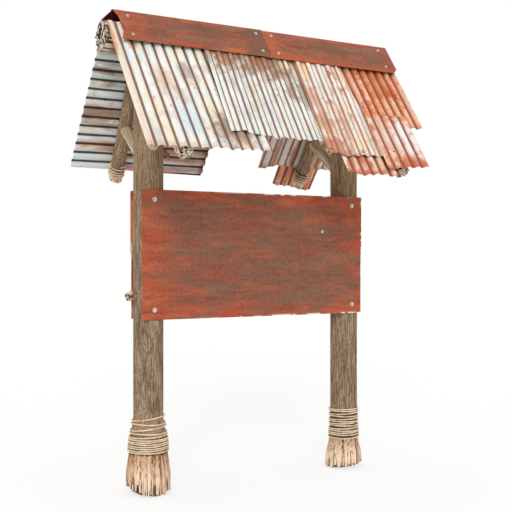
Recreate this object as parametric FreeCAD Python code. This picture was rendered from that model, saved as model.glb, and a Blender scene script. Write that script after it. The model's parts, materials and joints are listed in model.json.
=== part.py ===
import FreeCAD, Part
import math
import os
from collections import namedtuple

# Town sign post: two log posts carry a steel notice panel on each face and a patched tin roof.
# Millimetres. +X runs along the ridge, +Y to the back, +Z up.
# The origin is on the ground, under the middle of the ridge log.

Vector = FreeCAD.Vector
FRONT, BACK = -1, 1

# Clearances
SEAT_GAP = 0.3            # between shaped timbers, and between a plate and a round log
BORE_GAP = 0.2            # round a nail, screw, bolt or pin
SHEET_GAP = 0.3           # between a roof sheet and what it lies on
TWINE_GAP = 0.4           # between the twine and the wood

# Posts
POST_SPACING = 1658.0
POST_D = 210.0
SADDLE_DEPTH = 45.0       # how far a post top clasps the ridge log
# Flared feet: height above the ground, and how far the wood swells beyond the post
LEFT_FLARE = ((0.0, 41.0), (143.0, 50.0), (276.0, 33.0), (373.0, 24.0), (520.0, 0.0))
RIGHT_FLARE = ((0.0, 40.0), (110.0, 35.0), (226.0, 8.0), (330.0, 0.0))
# Trimmed branch stubs on the left post
LOW_STUB_Z = 1398.0
LOW_STUB_BASE_D = 104.0
LOW_STUB_TIP_D = 62.0
LOW_STUB_REACH = 62.0
HIGH_STUB_Z = 2400.0
HIGH_STUB_BASE_D = 62.0
HIGH_STUB_TIP_D = 46.0
HIGH_STUB_REACH = 60.0
STUB_DROOP = 0.18         # fall of a stub per unit of reach

# Ridge log and roof planes
RIDGE_LEFT_OVERHANG = 352.0   # from a post's axis to the log's end
RIDGE_RIGHT_OVERHANG = 406.0
RIDGE_D = 220.0
RIDGE_Z = 3150.0
ROOF_PITCH = 52.0         # degrees
ROOF_SEAT = 74.0          # from the ridge log's axis to the faces hewn for the sheets
RIDGE_ROUND_END = 6.0     # length left round at each end of the ridge log
RIDGE_PIN_D = 16.0
RIDGE_PIN_LENGTH = 330.0
RIDGE_PIN_SINK = 10.0

# Rafters: how far each one stands beside its post's axis at the ridge and at its tip, and how far
# its tip is up the slope from the eave
RAFTER_D = 104.0
RAFTER_TOP = 190.0
RAFTER_LINES = {
    "front_left": (-14.0, -28.0, 169.0),
    "front_right": (0.0, 14.0, 111.0),
    "back_left": (-39.0, 28.0, 75.0),
    "back_right": (-42.0, 21.0, 99.0),
}
SPIKE_D = 10.0
SPIKE_LENGTH = 150.0
SPIKE_SETBACK = 75.0      # from the rafter's upper end to its spike
SPIKE_HEAD_D = 20.0
SPIKE_HEAD_H = 4.0
SPIKE_SINK = 8.0

# Knee struts, square to the rafters
STRUT_D = 84.0
FRONT_STRUT_DROP = 799.0  # from the ridge log's axis to where the strut's axis meets the post's axis
BACK_STRUT_DROP = 897.0
STRUT_NAIL_D = 8.0
STRUT_NAIL_BITE = 60.0    # depth of a nail in the timber that it holds
STRUT_NAIL_OUT = 45.0     # from the post's face to the strut's lower nail, along the strut
NAIL_HEAD_D = 16.0
NAIL_HEAD_H = 3.0
NAIL_SINK = 6.0

# Purlin poles
PURLIN_D = 76.0
PURLIN_V = 640.0
PURLIN_INSET = 20.0       # end of a purlin, short of the rafter's axis
PURLIN_NAIL_IN = 14.0     # from the purlin's end to its nail
PURLIN_NAIL_LENGTH = 70.0
PURLIN_NAIL_SINK = 5.0

# Twine
TWINE_D = 10.0
LEFT_WRAP_TOP = 545.0
LEFT_WRAP_BOTTOM = 285.0
RIGHT_WRAP_TOP = 460.0
RIGHT_WRAP_BOTTOM = 232.0
FOOT_WRAP_TURNS = 9
FOOT_WRAP_TIGHT_PITCH = 15.0
RAFTER_WRAP_TURNS = 5
RAFTER_WRAP_PITCH = 13.0
RAFTER_WRAP_SETBACK = 42.0   # from the rafter's tip to its binding

# Notice panels
PANEL_OVERHANG = 91.0     # beyond the posts' axes
PANEL_H = 900.0
PANEL_T = 5.0
PANEL_Z = 1660.0
PANEL_EDGE_STEP = 7.0     # the worn lower half of one side edge
PANEL_EDGE_RUN = 30.0
BOLT_D = 12.0
BOLT_LENGTH = 84.0
BOLT_AF = 20.0
BOLT_HEAD_H = 8.0
BOLT_INSET = 68.0         # from the panel's top or bottom edge to a bolt
WASHER_D = 34.0
WASHER_T = 3.0
STRAY_SCREW_RIGHT = 551.0  # of the panel's middle
STRAY_SCREW_RISE = 177.0
STRAY_SCREW_D = 8.0
STRAY_SCREW_LENGTH = 26.0
STRAY_SCREW_HEAD_D = 24.0
STRAY_SCREW_HEAD_H = 5.0

# Roof sheets: a profile is its pitch, its depth and the share of the pitch taken by the crest
Profile = namedtuple("Profile", "pitch depth crest")
SHEET_T = 1.2
BROAD = Profile(76.0, 16.0, 0.66)
ROUND = Profile(76.0, 16.0, 0.5)
RIBBED = Profile(92.0, 12.0, 0.36)
WAVY = Profile(88.0, 14.0, 0.46)
SHEET_TOP = 30.0          # top edge of the sheets, down the slope from the roof planes' meeting line
SHEET_LEFT_INSET = 33.0   # from the ridge log's ends to the outer sheets' edges
SHEET_RIGHT_INSET = 10.0
EAVE_REACH = 852.0        # how far the lowest sheet of each slope stands out from the ridge
# Widths of the sheets and their laps with the sheet to the left
LEFT_SHEET_W = 902.0
MIDDLE_SHEET_W = 835.0
MIDDLE_SHEET_LAP = 217.0
RIGHT_SHEET_W = 332.0
RIGHT_SHEET_LAP = 83.0
FAR_RIGHT_SHEET_W = 638.0
FAR_RIGHT_SHEET_LAP = 34.0
BACK_LEFT_SHEET_W = 1105.0
BACK_MIDDLE_SHEET_W = 640.0
BACK_MIDDLE_SHEET_LAP = 100.0
INNER_RIGHT_SHEET_W = 328.0
INNER_RIGHT_SHEET_LAP = 120.0
OUTER_RIGHT_SHEET_W = 590.0
OUTER_RIGHT_SHEET_LAP = 70.0
# Smaller sheets: width, and left edge from that of the sheet that they lie with
LOWER_RIGHT_SHEET_W = 455.0
LOWER_RIGHT_SHEET_IN = 13.0
PATCH_SHEET_W = 394.0
PATCH_SHEET_IN = 80.0
BACK_LOWER_SHEET_W = 411.0
BACK_LOWER_SHEET_IN = 14.0
# Lengths of the short sheets, and how far up the slope from the eave the others end
FAR_RIGHT_SHEET_L = 820.0
LOWER_RIGHT_SHEET_L = 271.0
PATCH_SHEET_L = 604.0
BACK_MIDDLE_SHEET_L = 872.0
BACK_LOWER_SHEET_L = 327.0
LEFT_SHEET_RISE = 160.0
MIDDLE_SHEET_RISE = 278.0
RIGHT_SHEET_RISE = 163.0
PATCH_SHEET_RISE = 45.0
BACK_LEFT_SHEET_RISE = 103.0
INNER_RIGHT_SHEET_RISE = 205.0
OUTER_RIGHT_SHEET_RISE = 207.0
MIDDLE_SHEET_LEAN = 68.0  # sideways shift of the middle sheet from top to bottom
MIDDLE_RIGHT_LIFT = 8.0   # the tilted middle sheet's right edge above the seat
SHEET_NAIL_D = 5.0
SHEET_NAIL_HEAD_D = 15.0
SHEET_NAIL_HEAD_H = 2.5
PURLIN_SHEET_NAIL = 75.0
STITCH_NAIL = 42.0

# Ridge cap
CAP_PITCH = 54.0
CAP_FLANGE = 310.0
CAP_T = 2.0
CAP_LEFT_INSET = 82.0     # from the ridge log's ends
CAP_RIGHT_INSET = 6.0
CAP_SEAM_X = 48.0         # right end of the upper length
CAP_LAP = 95.0
CAP_CORNER = 42.0
CAP_EAR = 58.0            # the left cap's back flange runs on past its fold
CAP_EAR_DROP = 100.0
CAP_TEAR = 46.0           # the left cap's front flange is torn back
CAP_BEND_R = 18.0
CAP_SCREW_D = 6.0
CAP_SCREW_HEAD_D = 15.0
CAP_SCREW_HEAD_H = 6.0
CAP_WASHER_D = 24.0
CAP_WASHER_T = 2.0
CAP_SCREW_UPPER = 65.0    # down the flange from the fold
CAP_SCREW_LOWER = 250.0
CAP_SCREW_LONG = 115.0
CAP_SCREW_SHORT = 46.0
CAP_END_SCREW = 97.0      # from a cap's end to its screws
CAP_SEAM_SCREW = 66.0

# Sizes worked out from the ones above
POST_R = POST_D / 2
POST_SHIFT = (RIDGE_LEFT_OVERHANG - RIDGE_RIGHT_OVERHANG) / 2   # middle of the posts
RIDGE_LENGTH = RIDGE_LEFT_OVERHANG + POST_SPACING + RIDGE_RIGHT_OVERHANG
PANEL_W = POST_SPACING + 2 * PANEL_OVERHANG
BOLT_RISE = PANEL_H / 2 - BOLT_INSET
RIDGE_R = RIDGE_D / 2
RAFTER_R = RAFTER_D / 2
STRUT_R = STRUT_D / 2
PURLIN_R = PURLIN_D / 2
POST_X = {"left": POST_SHIFT - POST_SPACING / 2, "right": POST_SHIFT + POST_SPACING / 2}
POST_TOP = RIDGE_Z - RIDGE_R + SADDLE_DEPTH
PITCH = math.radians(ROOF_PITCH)
ROOF_APEX = RIDGE_Z + ROOF_SEAT / math.cos(PITCH)
SEAT_FOOT = ROOF_SEAT * math.tan(PITCH)          # down-slope place nearest to the ridge log's axis
RAFTER_W = -(RAFTER_R + TWINE_D + 2 * TWINE_GAP)  # rafter axis, below the roof plane
FLAT = SHEET_GAP
NESTED = FLAT + SHEET_T + SHEET_GAP
SHEET_LEFT = -RIDGE_LENGTH / 2 + SHEET_LEFT_INSET
SHEET_RIGHT = RIDGE_LENGTH / 2 - SHEET_RIGHT_INSET
CAP_LEFT_X = -RIDGE_LENGTH / 2 + CAP_LEFT_INSET
CAP_RIGHT_X = RIDGE_LENGTH / 2 - CAP_RIGHT_INSET
CAP_SCREW_XS = (CAP_LEFT_X + CAP_END_SCREW, CAP_SEAM_X - CAP_SEAM_SCREW,
                CAP_SEAM_X + CAP_SEAM_SCREW, CAP_RIGHT_X - CAP_END_SCREW)
ALONG = Vector(1, 0, 0)
UP = Vector(0, 0, 1)

parts = {}


def unit(vector):
    """The vector at length 1."""
    return Vector(vector).normalize()


def down(side, pitch=PITCH):
    """Direction down the front or back slope."""
    return Vector(0, side * math.cos(pitch), -math.sin(pitch))


def out(side, pitch=PITCH):
    """Direction square to the slope, away from the roof space."""
    return Vector(0, side * math.sin(pitch), math.cos(pitch))


def on_slope(side, x, v, w):
    """Point at x along the ridge, v down the slope and w above the roof plane."""
    return Vector(x, 0, ROOF_APEX) + down(side) * v + out(side) * w


def crest_of(profile, lift):
    """Height of a sheet's crests above the roof plane."""
    return lift + profile.depth + SHEET_T


def eave_v(profile, lift):
    """Down-slope place of an edge that stands out by the eave's reach."""
    return (EAVE_REACH - crest_of(profile, lift) * math.sin(PITCH)) / math.cos(PITCH)


ON_NESTED = crest_of(ROUND, NESTED) + SHEET_GAP
FRONT_EAVE = eave_v(ROUND, FLAT)
BACK_EAVE = eave_v(ROUND, ON_NESTED)
EAVES = {"front": FRONT_EAVE, "back": BACK_EAVE}


def rod(start, end, radius):
    """Round bar between two points."""
    axis = end - start
    return Part.makeCylinder(radius, axis.Length, start, axis)


def joined(shapes):
    """One solid from touching or overlapping ones."""
    return shapes[0].fuse(shapes[1:]).removeSplitter()


def slab(points, thickness):
    """Flat polygon through the points, thickened by a vector."""
    return Part.Face(Part.makePolygon(points + points[:1])).extrude(thickness)


def bore(cutter, names):
    """Take a hole out of each named piece that it reaches."""
    for name in names:
        if parts[name].BoundBox.intersect(cutter.BoundBox):
            parts[name] = parts[name].cut(cutter)


def fixing(seat, direction, shank_d, length, head_d, head_h):
    """Nail or screw whose head sits on the seat point."""
    shank = rod(seat, seat + direction * length, shank_d / 2)
    head = rod(seat - direction * head_h, seat, head_d / 2)
    return joined([head, shank])


def shank_hole(seat, direction, shank_d, length):
    """Hole for a shank, as deep as the shank is long."""
    return rod(seat, seat + direction * length, shank_d / 2 + BORE_GAP)


def head_pocket(seat, direction, head_d):
    """Hole that lets a sunk head lie below a round timber's face."""
    return rod(seat - direction * head_d * 2, seat, head_d / 2 + BORE_GAP)


def sunk_fixing(seat, direction, shank_d, length, head_d, head_h, names):
    """Nail driven below the surface, with its holes taken out of the timbers."""
    bore(shank_hole(seat, direction, shank_d, length), names)
    bore(head_pocket(seat, direction, head_d), names)
    return fixing(seat, direction, shank_d, length, head_d, head_h)


# Posts

def flare_radius(flare, z):
    """Radius of a post at height z."""
    for (z0, r0), (z1, r1) in zip(flare, flare[1:]):
        if z0 <= z <= z1:
            return POST_R + r0 + (r1 - r0) * (z - z0) / (z1 - z0)
    return POST_R


def branch_stub(x, z, side, base_d, tip_d, reach):
    """Trimmed branch that leaves the post sideways and droops a little."""
    axis = unit(Vector(side, 0, -STUB_DROOP))
    start = Vector(x, 0, z)
    length = POST_R + reach
    return Part.makeCone(base_d / 2, tip_d / 2, length, start, axis)


def post(x, flare):
    """Round post with a flared foot, turned from its outline."""
    outline = [Vector(0, 0, 0)]
    outline += [Vector(POST_R + swell, 0, z) for z, swell in flare]
    outline += [Vector(POST_R, 0, POST_TOP), Vector(0, 0, POST_TOP)]
    face = Part.Face(Part.makePolygon(outline + outline[:1]))
    turned = face.revolve(Vector(0, 0, 0), UP, 360)
    return turned.translated(Vector(x, 0, 0))


def ridge_bar(radius, margin=0.0):
    """Round bar on the ridge log's axis."""
    reach = RIDGE_LENGTH / 2 + margin
    return rod(Vector(-reach, 0, RIDGE_Z), Vector(reach, 0, RIDGE_Z), radius)


def ridge_log():
    """Ridge log with a face hewn for the sheets on each slope, and round ends."""
    log = ridge_bar(RIDGE_R)
    reach = RIDGE_LENGTH / 2 - RIDGE_ROUND_END
    for side in (FRONT, BACK):
        corners = [on_slope(side, x, v, 0) for x, v in (
            (-reach, SEAT_FOOT - RIDGE_D), (reach, SEAT_FOOT - RIDGE_D),
            (reach, SEAT_FOOT + RIDGE_D), (-reach, SEAT_FOOT + RIDGE_D))]
        log = log.cut(slab(corners, out(side) * RIDGE_D))
    return log


# Rafters, struts and purlins

def slope_of(name):
    """Side of the roof that a front_ or back_ name belongs to."""
    return FRONT if name.startswith("front") else BACK


def rafter_tip(name):
    """Down-slope place of a rafter's tip."""
    return EAVES[name.split("_")[0]] - RAFTER_LINES[name][2]


def rafter_point(name, v):
    """Point on a rafter's axis."""
    beside_top, beside_tip, _ = RAFTER_LINES[name]
    v_tip = rafter_tip(name)
    beside = beside_top + (beside_tip - beside_top) * (v - RAFTER_TOP) / (v_tip - RAFTER_TOP)
    return on_slope(slope_of(name), POST_X[name.split("_")[1]] + beside, v, RAFTER_W)


def rafter_rod(name, radius, margin=0.0):
    """Round bar along a rafter."""
    return rod(rafter_point(name, RAFTER_TOP - margin), rafter_point(name, rafter_tip(name) + margin), radius)


def strut_ends(name):
    """Where a strut's axis meets the post's axis and the rafter's axis."""
    side = slope_of(name)
    fall = FRONT_STRUT_DROP if side == FRONT else BACK_STRUT_DROP
    start = Vector(POST_X[name.split("_")[1]], 0, RIDGE_Z - fall)
    v_foot = (start - Vector(start.x, 0, ROOF_APEX)).dot(down(side))
    return start, rafter_point(name, v_foot)


def strut(name):
    """Pole from the post to the rafter, hollowed at both ends to fit round them."""
    start, end = strut_ends(name)
    pole = rod(start, end, STRUT_R)
    x = start.x
    post_bar = rod(Vector(x, 0, 0), Vector(x, 0, POST_TOP), POST_R + SEAT_GAP)
    return pole.cut(post_bar).cut(rafter_rod(name, RAFTER_R + SEAT_GAP))


def purlin_ends(slope):
    """Ends of a purlin's axis, between the two rafters of its slope."""
    side = slope_of(slope)
    left = rafter_point(slope + "_left", PURLIN_V).x + PURLIN_INSET
    right = rafter_point(slope + "_right", PURLIN_V).x - PURLIN_INSET
    return [on_slope(side, x, PURLIN_V, -PURLIN_R) for x in (left, right)]


def purlin(slope):
    """Pole between the rafters, hollowed at its ends to rest on their shoulders."""
    pole = rod(*purlin_ends(slope), PURLIN_R)
    for end in ("_left", "_right"):
        pole = pole.cut(rafter_rod(slope + end, RAFTER_R + SEAT_GAP))
    return pole


def build_timber():
    """Posts, ridge log, rafters, struts and purlins with their joints cut."""
    stubs = [branch_stub(POST_X["left"], LOW_STUB_Z, -1, LOW_STUB_BASE_D, LOW_STUB_TIP_D, LOW_STUB_REACH),
             branch_stub(POST_X["left"], HIGH_STUB_Z, 1, HIGH_STUB_BASE_D, HIGH_STUB_TIP_D, HIGH_STUB_REACH)]
    parts["left_post"] = joined([post(POST_X["left"], LEFT_FLARE)] + stubs)
    parts["right_post"] = post(POST_X["right"], RIGHT_FLARE)
    parts["ridge_log"] = ridge_log()
    ridge_cut = ridge_bar(RIDGE_R + SEAT_GAP, RIDGE_R)
    for side in ("left", "right"):
        parts[side + "_post"] = parts[side + "_post"].cut(ridge_cut)
    for name in RAFTER_LINES:
        parts[name + "_rafter"] = rafter_rod(name, RAFTER_R).cut(ridge_cut)
        post_name = name.split("_")[1] + "_post"
        parts[post_name] = parts[post_name].cut(rafter_rod(name, RAFTER_R + SEAT_GAP))
        parts[name + "_strut"] = strut(name)
    for slope in ("front", "back"):
        parts[slope + "_purlin"] = purlin(slope)


def build_timber_fixings():
    """Pins, spikes and nails that hold the timbers together."""
    pins = []
    for side, x in POST_X.items():
        top = Vector(x, 0, RIDGE_Z + RIDGE_R - RIDGE_PIN_SINK)
        pins.append(rod(top, top - UP * RIDGE_PIN_LENGTH, RIDGE_PIN_D / 2))
        reach = RIDGE_PIN_LENGTH + RIDGE_PIN_SINK
        hole = shank_hole(top + UP * RIDGE_PIN_SINK, -UP, RIDGE_PIN_D, reach)
        bore(hole, ["ridge_log", side + "_post"])
    parts["ridge_drift_pins"] = Part.makeCompound(pins)

    spikes = []
    strut_nails = []
    for name in RAFTER_LINES:
        side = slope_of(name)
        timbers = [name + "_rafter", "ridge_log"]
        point = rafter_point(name, RAFTER_TOP + SPIKE_SETBACK) + out(side) * (RAFTER_R - SPIKE_SINK)
        aim = unit(Vector(point.x, 0, RIDGE_Z) - point)
        spikes.append(sunk_fixing(point, aim, SPIKE_D, SPIKE_LENGTH, SPIKE_HEAD_D, SPIKE_HEAD_H, timbers))

        start, end = strut_ends(name)
        timbers = [name + "_rafter", name + "_strut", name.split("_")[1] + "_post"]
        inward = unit(start - end)
        seat = end - inward * (RAFTER_R - NAIL_SINK)
        length = RAFTER_D - NAIL_SINK + STRUT_NAIL_BITE
        strut_nails.append(sunk_fixing(seat, inward, STRUT_NAIL_D, length, NAIL_HEAD_D, NAIL_HEAD_H, timbers))
        slant = abs(inward.y)
        through = start - inward * (POST_R / slant + STRUT_NAIL_OUT)
        level = Vector(0, -side, 0)
        seat = through - level * (STRUT_R / abs(inward.z) - NAIL_SINK)
        length = abs(seat.y) - POST_R + STRUT_NAIL_BITE
        strut_nails.append(sunk_fixing(seat, level, STRUT_NAIL_D, length, NAIL_HEAD_D, NAIL_HEAD_H, timbers))
    parts["rafter_spikes"] = Part.makeCompound(spikes)
    parts["strut_nails"] = Part.makeCompound(strut_nails)

    purlin_nails = []
    for slope in ("front", "back"):
        side = slope_of(slope)
        left, right = purlin_ends(slope)
        timbers = [slope + "_purlin", slope + "_left_rafter", slope + "_right_rafter"]
        for end, inward in ((left, 1), (right, -1)):
            seat = end + ALONG * inward * PURLIN_NAIL_IN + out(side) * (PURLIN_R - PURLIN_NAIL_SINK)
            purlin_nails.append(sunk_fixing(seat, -out(side), STRUT_NAIL_D, PURLIN_NAIL_LENGTH,
                                            NAIL_HEAD_D, NAIL_HEAD_H, timbers))
    parts["purlin_nails"] = Part.makeCompound(purlin_nails)


# Twine bindings

def arc_middle(start, end, tangent):
    """Middle of the arc that leaves start along the tangent and reaches end."""
    chord = end - start
    along = unit(chord)
    bulge = tangent - along * tangent.dot(along)
    if bulge.Length < 1e-9:
        return None
    half_turn = math.acos(max(-1.0, min(1.0, tangent.dot(along))))
    return (start + end) * 0.5 + unit(bulge) * (chord.Length / 2 * math.tan(half_turn / 2))


def biarc(start, start_way, end, end_way):
    """Two arcs that join two points and keep both directions."""
    gap = end - start
    ways = start_way + end_way
    a = 2 * (start_way.dot(end_way) - 1)
    b = -2 * gap.dot(ways)
    reach = (-b - math.sqrt(b * b - 4 * a * gap.dot(gap))) / (2 * a)
    meet = (start + start_way * reach + end - end_way * reach) * 0.5
    middle_way = unit(end - end_way * reach - start - start_way * reach)
    first = Part.Arc(start, arc_middle(start, meet, start_way), meet)
    second = Part.Arc(meet, arc_middle(meet, end, middle_way), end)
    return [first.toShape(), second.toShape()]


def winding(name, place, turns):
    """One unbroken twine tube; place(turn) gives its centre line."""
    knots = [quarter / 4.0 for quarter in range(4 * turns + 1)]
    step = 1e-4
    points = [place(turn) for turn in knots]
    ways = [unit(place(turn + step) - place(turn - step)) for turn in knots]
    first = points[0] - ways[0] * TWINE_D
    last = points[-1] + ways[-1] * TWINE_D
    edges = [Part.makeLine(first, points[0])]
    for index in range(len(knots) - 1):
        edges += biarc(points[index], ways[index], points[index + 1], ways[index + 1])
    edges.append(Part.makeLine(points[-1], last))
    path = Part.Wire(edges)
    ring = Part.Wire([Part.makeCircle(TWINE_D / 2, first, ways[0])])
    parts[name] = path.makePipeShell([ring], True, False)

    per_turn = 24
    samples = [place(index / per_turn) for index in range(per_turn * turns + 1)]
    far = per_turn // 2
    least = min((samples[i] - samples[j]).Length for i in range(len(samples))
                for j in range(i + far, len(samples)))
    print(name, "least gap to itself %.2f mm" % (least - TWINE_D),
          "volume share %.4f" % (parts[name].Volume / (math.pi * TWINE_D ** 2 / 4 * path.Length)))


def foot_binding(name, x, flare, top, bottom):
    """Twine round a flared foot, slack at the top and tight at the bottom."""
    loose = 2 * (top - bottom) / FOOT_WRAP_TURNS - FOOT_WRAP_TIGHT_PITCH
    tighten = (FOOT_WRAP_TIGHT_PITCH - loose) / (2 * FOOT_WRAP_TURNS)

    def place(turn):
        z = top - loose * turn - tighten * turn * turn
        below = flare_radius(flare, z - TWINE_D)
        above = flare_radius(flare, z + TWINE_D)
        lean = math.atan2(below - above, 2 * TWINE_D)
        radius = max(flare_radius(flare, z), (below + above) / 2) + (TWINE_D / 2 + TWINE_GAP) / math.cos(lean)
        angle = 2 * math.pi * turn
        return Vector(x + radius * math.sin(angle), radius * math.cos(angle), z)

    winding(name, place, FOOT_WRAP_TURNS)


def rafter_binding(name):
    """Twine round a rafter near its tip."""
    side = slope_of(name)
    start = rafter_point(name, rafter_tip(name) - RAFTER_WRAP_SETBACK)
    axis = unit(rafter_point(name, RAFTER_TOP) - start)
    upright = out(side)
    across = axis.cross(upright)
    radius = RAFTER_R + TWINE_D / 2 + TWINE_GAP

    def place(turn):
        angle = 2 * math.pi * turn
        spoke = upright * -math.cos(angle) + across * math.sin(angle)
        return start + axis * (RAFTER_WRAP_PITCH * turn) + spoke * radius

    winding(name + "_binding", place, RAFTER_WRAP_TURNS)


# Notice panels

def panel(side):
    """Steel plate whose right edge, seen from its own front, is worn back in its lower half."""
    half_w = PANEL_W / 2
    half_h = PANEL_H / 2
    y = side * (POST_R + SEAT_GAP)
    flip = -side
    outline = [(-half_w, -half_h), (-half_w, half_h), (half_w, half_h), (half_w, PANEL_EDGE_RUN),
               (half_w - PANEL_EDGE_STEP, -PANEL_EDGE_RUN), (half_w - PANEL_EDGE_STEP, -half_h)]
    points = [Vector(POST_SHIFT + flip * u, y, PANEL_Z + h) for u, h in outline]
    return slab(points, Vector(0, side * PANEL_T, 0))


def hex_head(seat, direction):
    """Hexagonal bolt head that stands on the seat point, away from the direction."""
    radius = BOLT_AF / 2 / math.cos(math.pi / 6)
    corners = [seat + Vector(math.sin(k * math.pi / 3), 0, math.cos(k * math.pi / 3)) * radius
               for k in range(6)]
    return slab(corners, direction * -BOLT_HEAD_H)


def build_panels():
    """Both panels, bolted to the posts."""
    for slope, side in (("front", FRONT), ("back", BACK)):
        parts[slope + "_panel"] = panel(side)
        inward = Vector(0, -side, 0)
        face = side * (POST_R + SEAT_GAP + PANEL_T)
        bolts = []
        washers = []
        for post_name, x in POST_X.items():
            for rise in (-BOLT_RISE, BOLT_RISE):
                plate = Vector(x, face, PANEL_Z + rise)
                seat = plate - inward * WASHER_T
                hole = shank_hole(seat, inward, BOLT_D, BOLT_LENGTH)
                bore(hole, [slope + "_panel", post_name + "_post"])
                washers.append(rod(plate, seat, WASHER_D / 2).cut(hole))
                shank = rod(seat, seat + inward * BOLT_LENGTH, BOLT_D / 2)
                bolts.append(joined([hex_head(seat, inward), shank]))
        parts[slope + "_panel_bolts"] = Part.makeCompound(bolts)
        parts[slope + "_panel_washers"] = Part.makeCompound(washers)
    seat = Vector(POST_SHIFT + STRAY_SCREW_RIGHT, FRONT * (POST_R + SEAT_GAP + PANEL_T),
                  PANEL_Z + STRAY_SCREW_RISE)
    inward = Vector(0, -FRONT, 0)
    bore(shank_hole(seat, inward, STRAY_SCREW_D, STRAY_SCREW_LENGTH), ["front_panel"])
    parts["front_panel_screw"] = fixing(seat, inward, STRAY_SCREW_D, STRAY_SCREW_LENGTH,
                                        STRAY_SCREW_HEAD_D, STRAY_SCREW_HEAD_H)


# Roof sheets

class Sheet:
    """Corrugated sheet on one slope, cut to an outline that starts at its top left.

    Outline points are in shares of the sheet's own width and length, from its left and top edges.
    The ribs run down the slope, turned by skew degrees, and are counted from rib_x or the first point.
    The sheet stands lift above the roof plane at its left edge and lift_right at its right edge.
    """

    def __init__(self, side, profile, span, top, bottom, points, skew, lift, lift_right=None, rib_x=None):
        self.side = side
        self.profile = profile
        self.span = span
        self.top = top
        self.bottom = bottom
        outline = [self.spot(*point) for point in points]
        self.outline = outline
        turn = math.radians(skew)
        flat_across = ALONG * math.cos(turn) + down(side) * math.sin(turn)
        self.ribs = down(side) * math.cos(turn) - ALONG * math.sin(turn)
        self.origin = on_slope(side, outline[0][0] if rib_x is None else rib_x, outline[0][1], lift)
        reach = [(on_slope(side, x, v, lift) - self.origin) for x, v in outline]
        self.s_range = (min(p.dot(flat_across) for p in reach), max(p.dot(flat_across) for p in reach))
        self.t_range = (min(p.dot(self.ribs) for p in reach), max(p.dot(self.ribs) for p in reach))
        rise = 0.0 if lift_right is None else (lift_right - lift) / self.s_range[1]
        self.across = unit(flat_across + out(side) * rise)
        self.normal = unit(out(side) - flat_across * rise)

    def spot(self, share_across, share_down):
        """Place along the ridge and down the slope of a point in shares of the sheet."""
        left, width = self.span
        return left + share_across * width, self.top + share_down * (self.bottom - self.top)

    def at(self, s, t, w):
        """Point s across the ribs, t along them and w above the valleys."""
        return self.origin + self.across * s + self.ribs * t + self.normal * w

    def waves(self, t, raise_by, backward):
        """Arcs of the corrugation, left to right or backward."""
        pitch, depth, crest = self.profile
        level = depth * (1 - crest) + raise_by
        first = math.floor(self.s_range[0] / pitch) - 1
        last = math.ceil(self.s_range[1] / pitch) + 1
        arcs = []
        for index in range(first, last):
            s0 = index * pitch
            s1 = s0 + crest * pitch
            s2 = s0 + pitch
            for left, right, height in ((s0, s1, depth * crest), (s1, s2, -depth * (1 - crest))):
                ends = [self.at(left, t, level), self.at(right, t, level)]
                middle = self.at((left + right) / 2, t, level + height)
                if backward:
                    ends.reverse()
                arcs.append(Part.Arc(ends[0], middle, ends[1]).toShape())
        return arcs[::-1] if backward else arcs

    def shape(self):
        """The sheet, cut to its outline."""
        t0 = self.t_range[0] - self.profile.pitch
        t1 = self.t_range[1] + self.profile.pitch
        under = self.waves(t0, 0.0, False)
        over = self.waves(t0, SHEET_T, True)
        right = Part.makeLine(under[-1].lastVertex().Point, over[0].firstVertex().Point)
        left = Part.makeLine(over[-1].lastVertex().Point, under[0].firstVertex().Point)
        section = Part.Face(Part.Wire(under + [right] + over + [left]))
        blank = section.extrude(self.ribs * (t1 - t0))
        depth = 4 * self.profile.depth
        points = [on_slope(self.side, x, v, -depth) for x, v in self.outline]
        return blank.common(slab(points, out(self.side) * 4 * depth))

    def crest_near(self, x, v):
        """Point on top of the crest nearest to x, v."""
        pitch, depth, crest = self.profile
        target = on_slope(self.side, x, v, 0) - self.origin
        index = round(target.dot(self.across) / pitch - crest / 2)
        return self.at((index + crest / 2) * pitch, target.dot(self.ribs), depth + SHEET_T)


def in_a_row(sheets):
    """Left edges and widths of sheets, given as width and lap, that cover the ridge log together."""
    fit = (SHEET_RIGHT - SHEET_LEFT) / sum(width - lap for width, lap in sheets)
    spans = []
    x = SHEET_LEFT
    for width, lap in sheets:
        spans.append((x - lap * fit, width * fit))
        x = sum(spans[-1])
    return spans, fit


def laid_with(span, inset, width, fit):
    """Left edge and width of a smaller sheet that goes with another one."""
    return span[0] + inset * fit, width * fit


ON_LEFT = crest_of(BROAD, FLAT) + SHEET_GAP
MIDDLE_LAP = MIDDLE_SHEET_LAP + MIDDLE_SHEET_LEAN
MIDDLE_LEFT_LIFT = ON_LEFT + (ON_LEFT - MIDDLE_RIGHT_LIFT) * MIDDLE_LAP / (MIDDLE_SHEET_W - MIDDLE_LAP)
MIDDLE_BOTTOM = FRONT_EAVE - MIDDLE_SHEET_RISE
MIDDLE_SKEW = math.degrees(math.atan2(MIDDLE_SHEET_LEAN, MIDDLE_BOTTOM - SHEET_TOP))
ON_MIDDLE = crest_of(RIBBED, MIDDLE_RIGHT_LIFT) + SHEET_GAP
ON_ROUND = crest_of(ROUND, FLAT) + SHEET_GAP
ON_RIGHT = crest_of(WAVY, ON_ROUND) + SHEET_GAP
FRONT_ROW, FRONT_FIT = in_a_row([
    (LEFT_SHEET_W, 0.0), (MIDDLE_SHEET_W, MIDDLE_SHEET_LAP), (RIGHT_SHEET_W, RIGHT_SHEET_LAP),
    (FAR_RIGHT_SHEET_W, FAR_RIGHT_SHEET_LAP)])
BACK_ROW, BACK_FIT = in_a_row([
    (BACK_LEFT_SHEET_W, 0.0), (BACK_MIDDLE_SHEET_W, BACK_MIDDLE_SHEET_LAP),
    (INNER_RIGHT_SHEET_W, INNER_RIGHT_SHEET_LAP), (OUTER_RIGHT_SHEET_W, OUTER_RIGHT_SHEET_LAP)])
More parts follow.
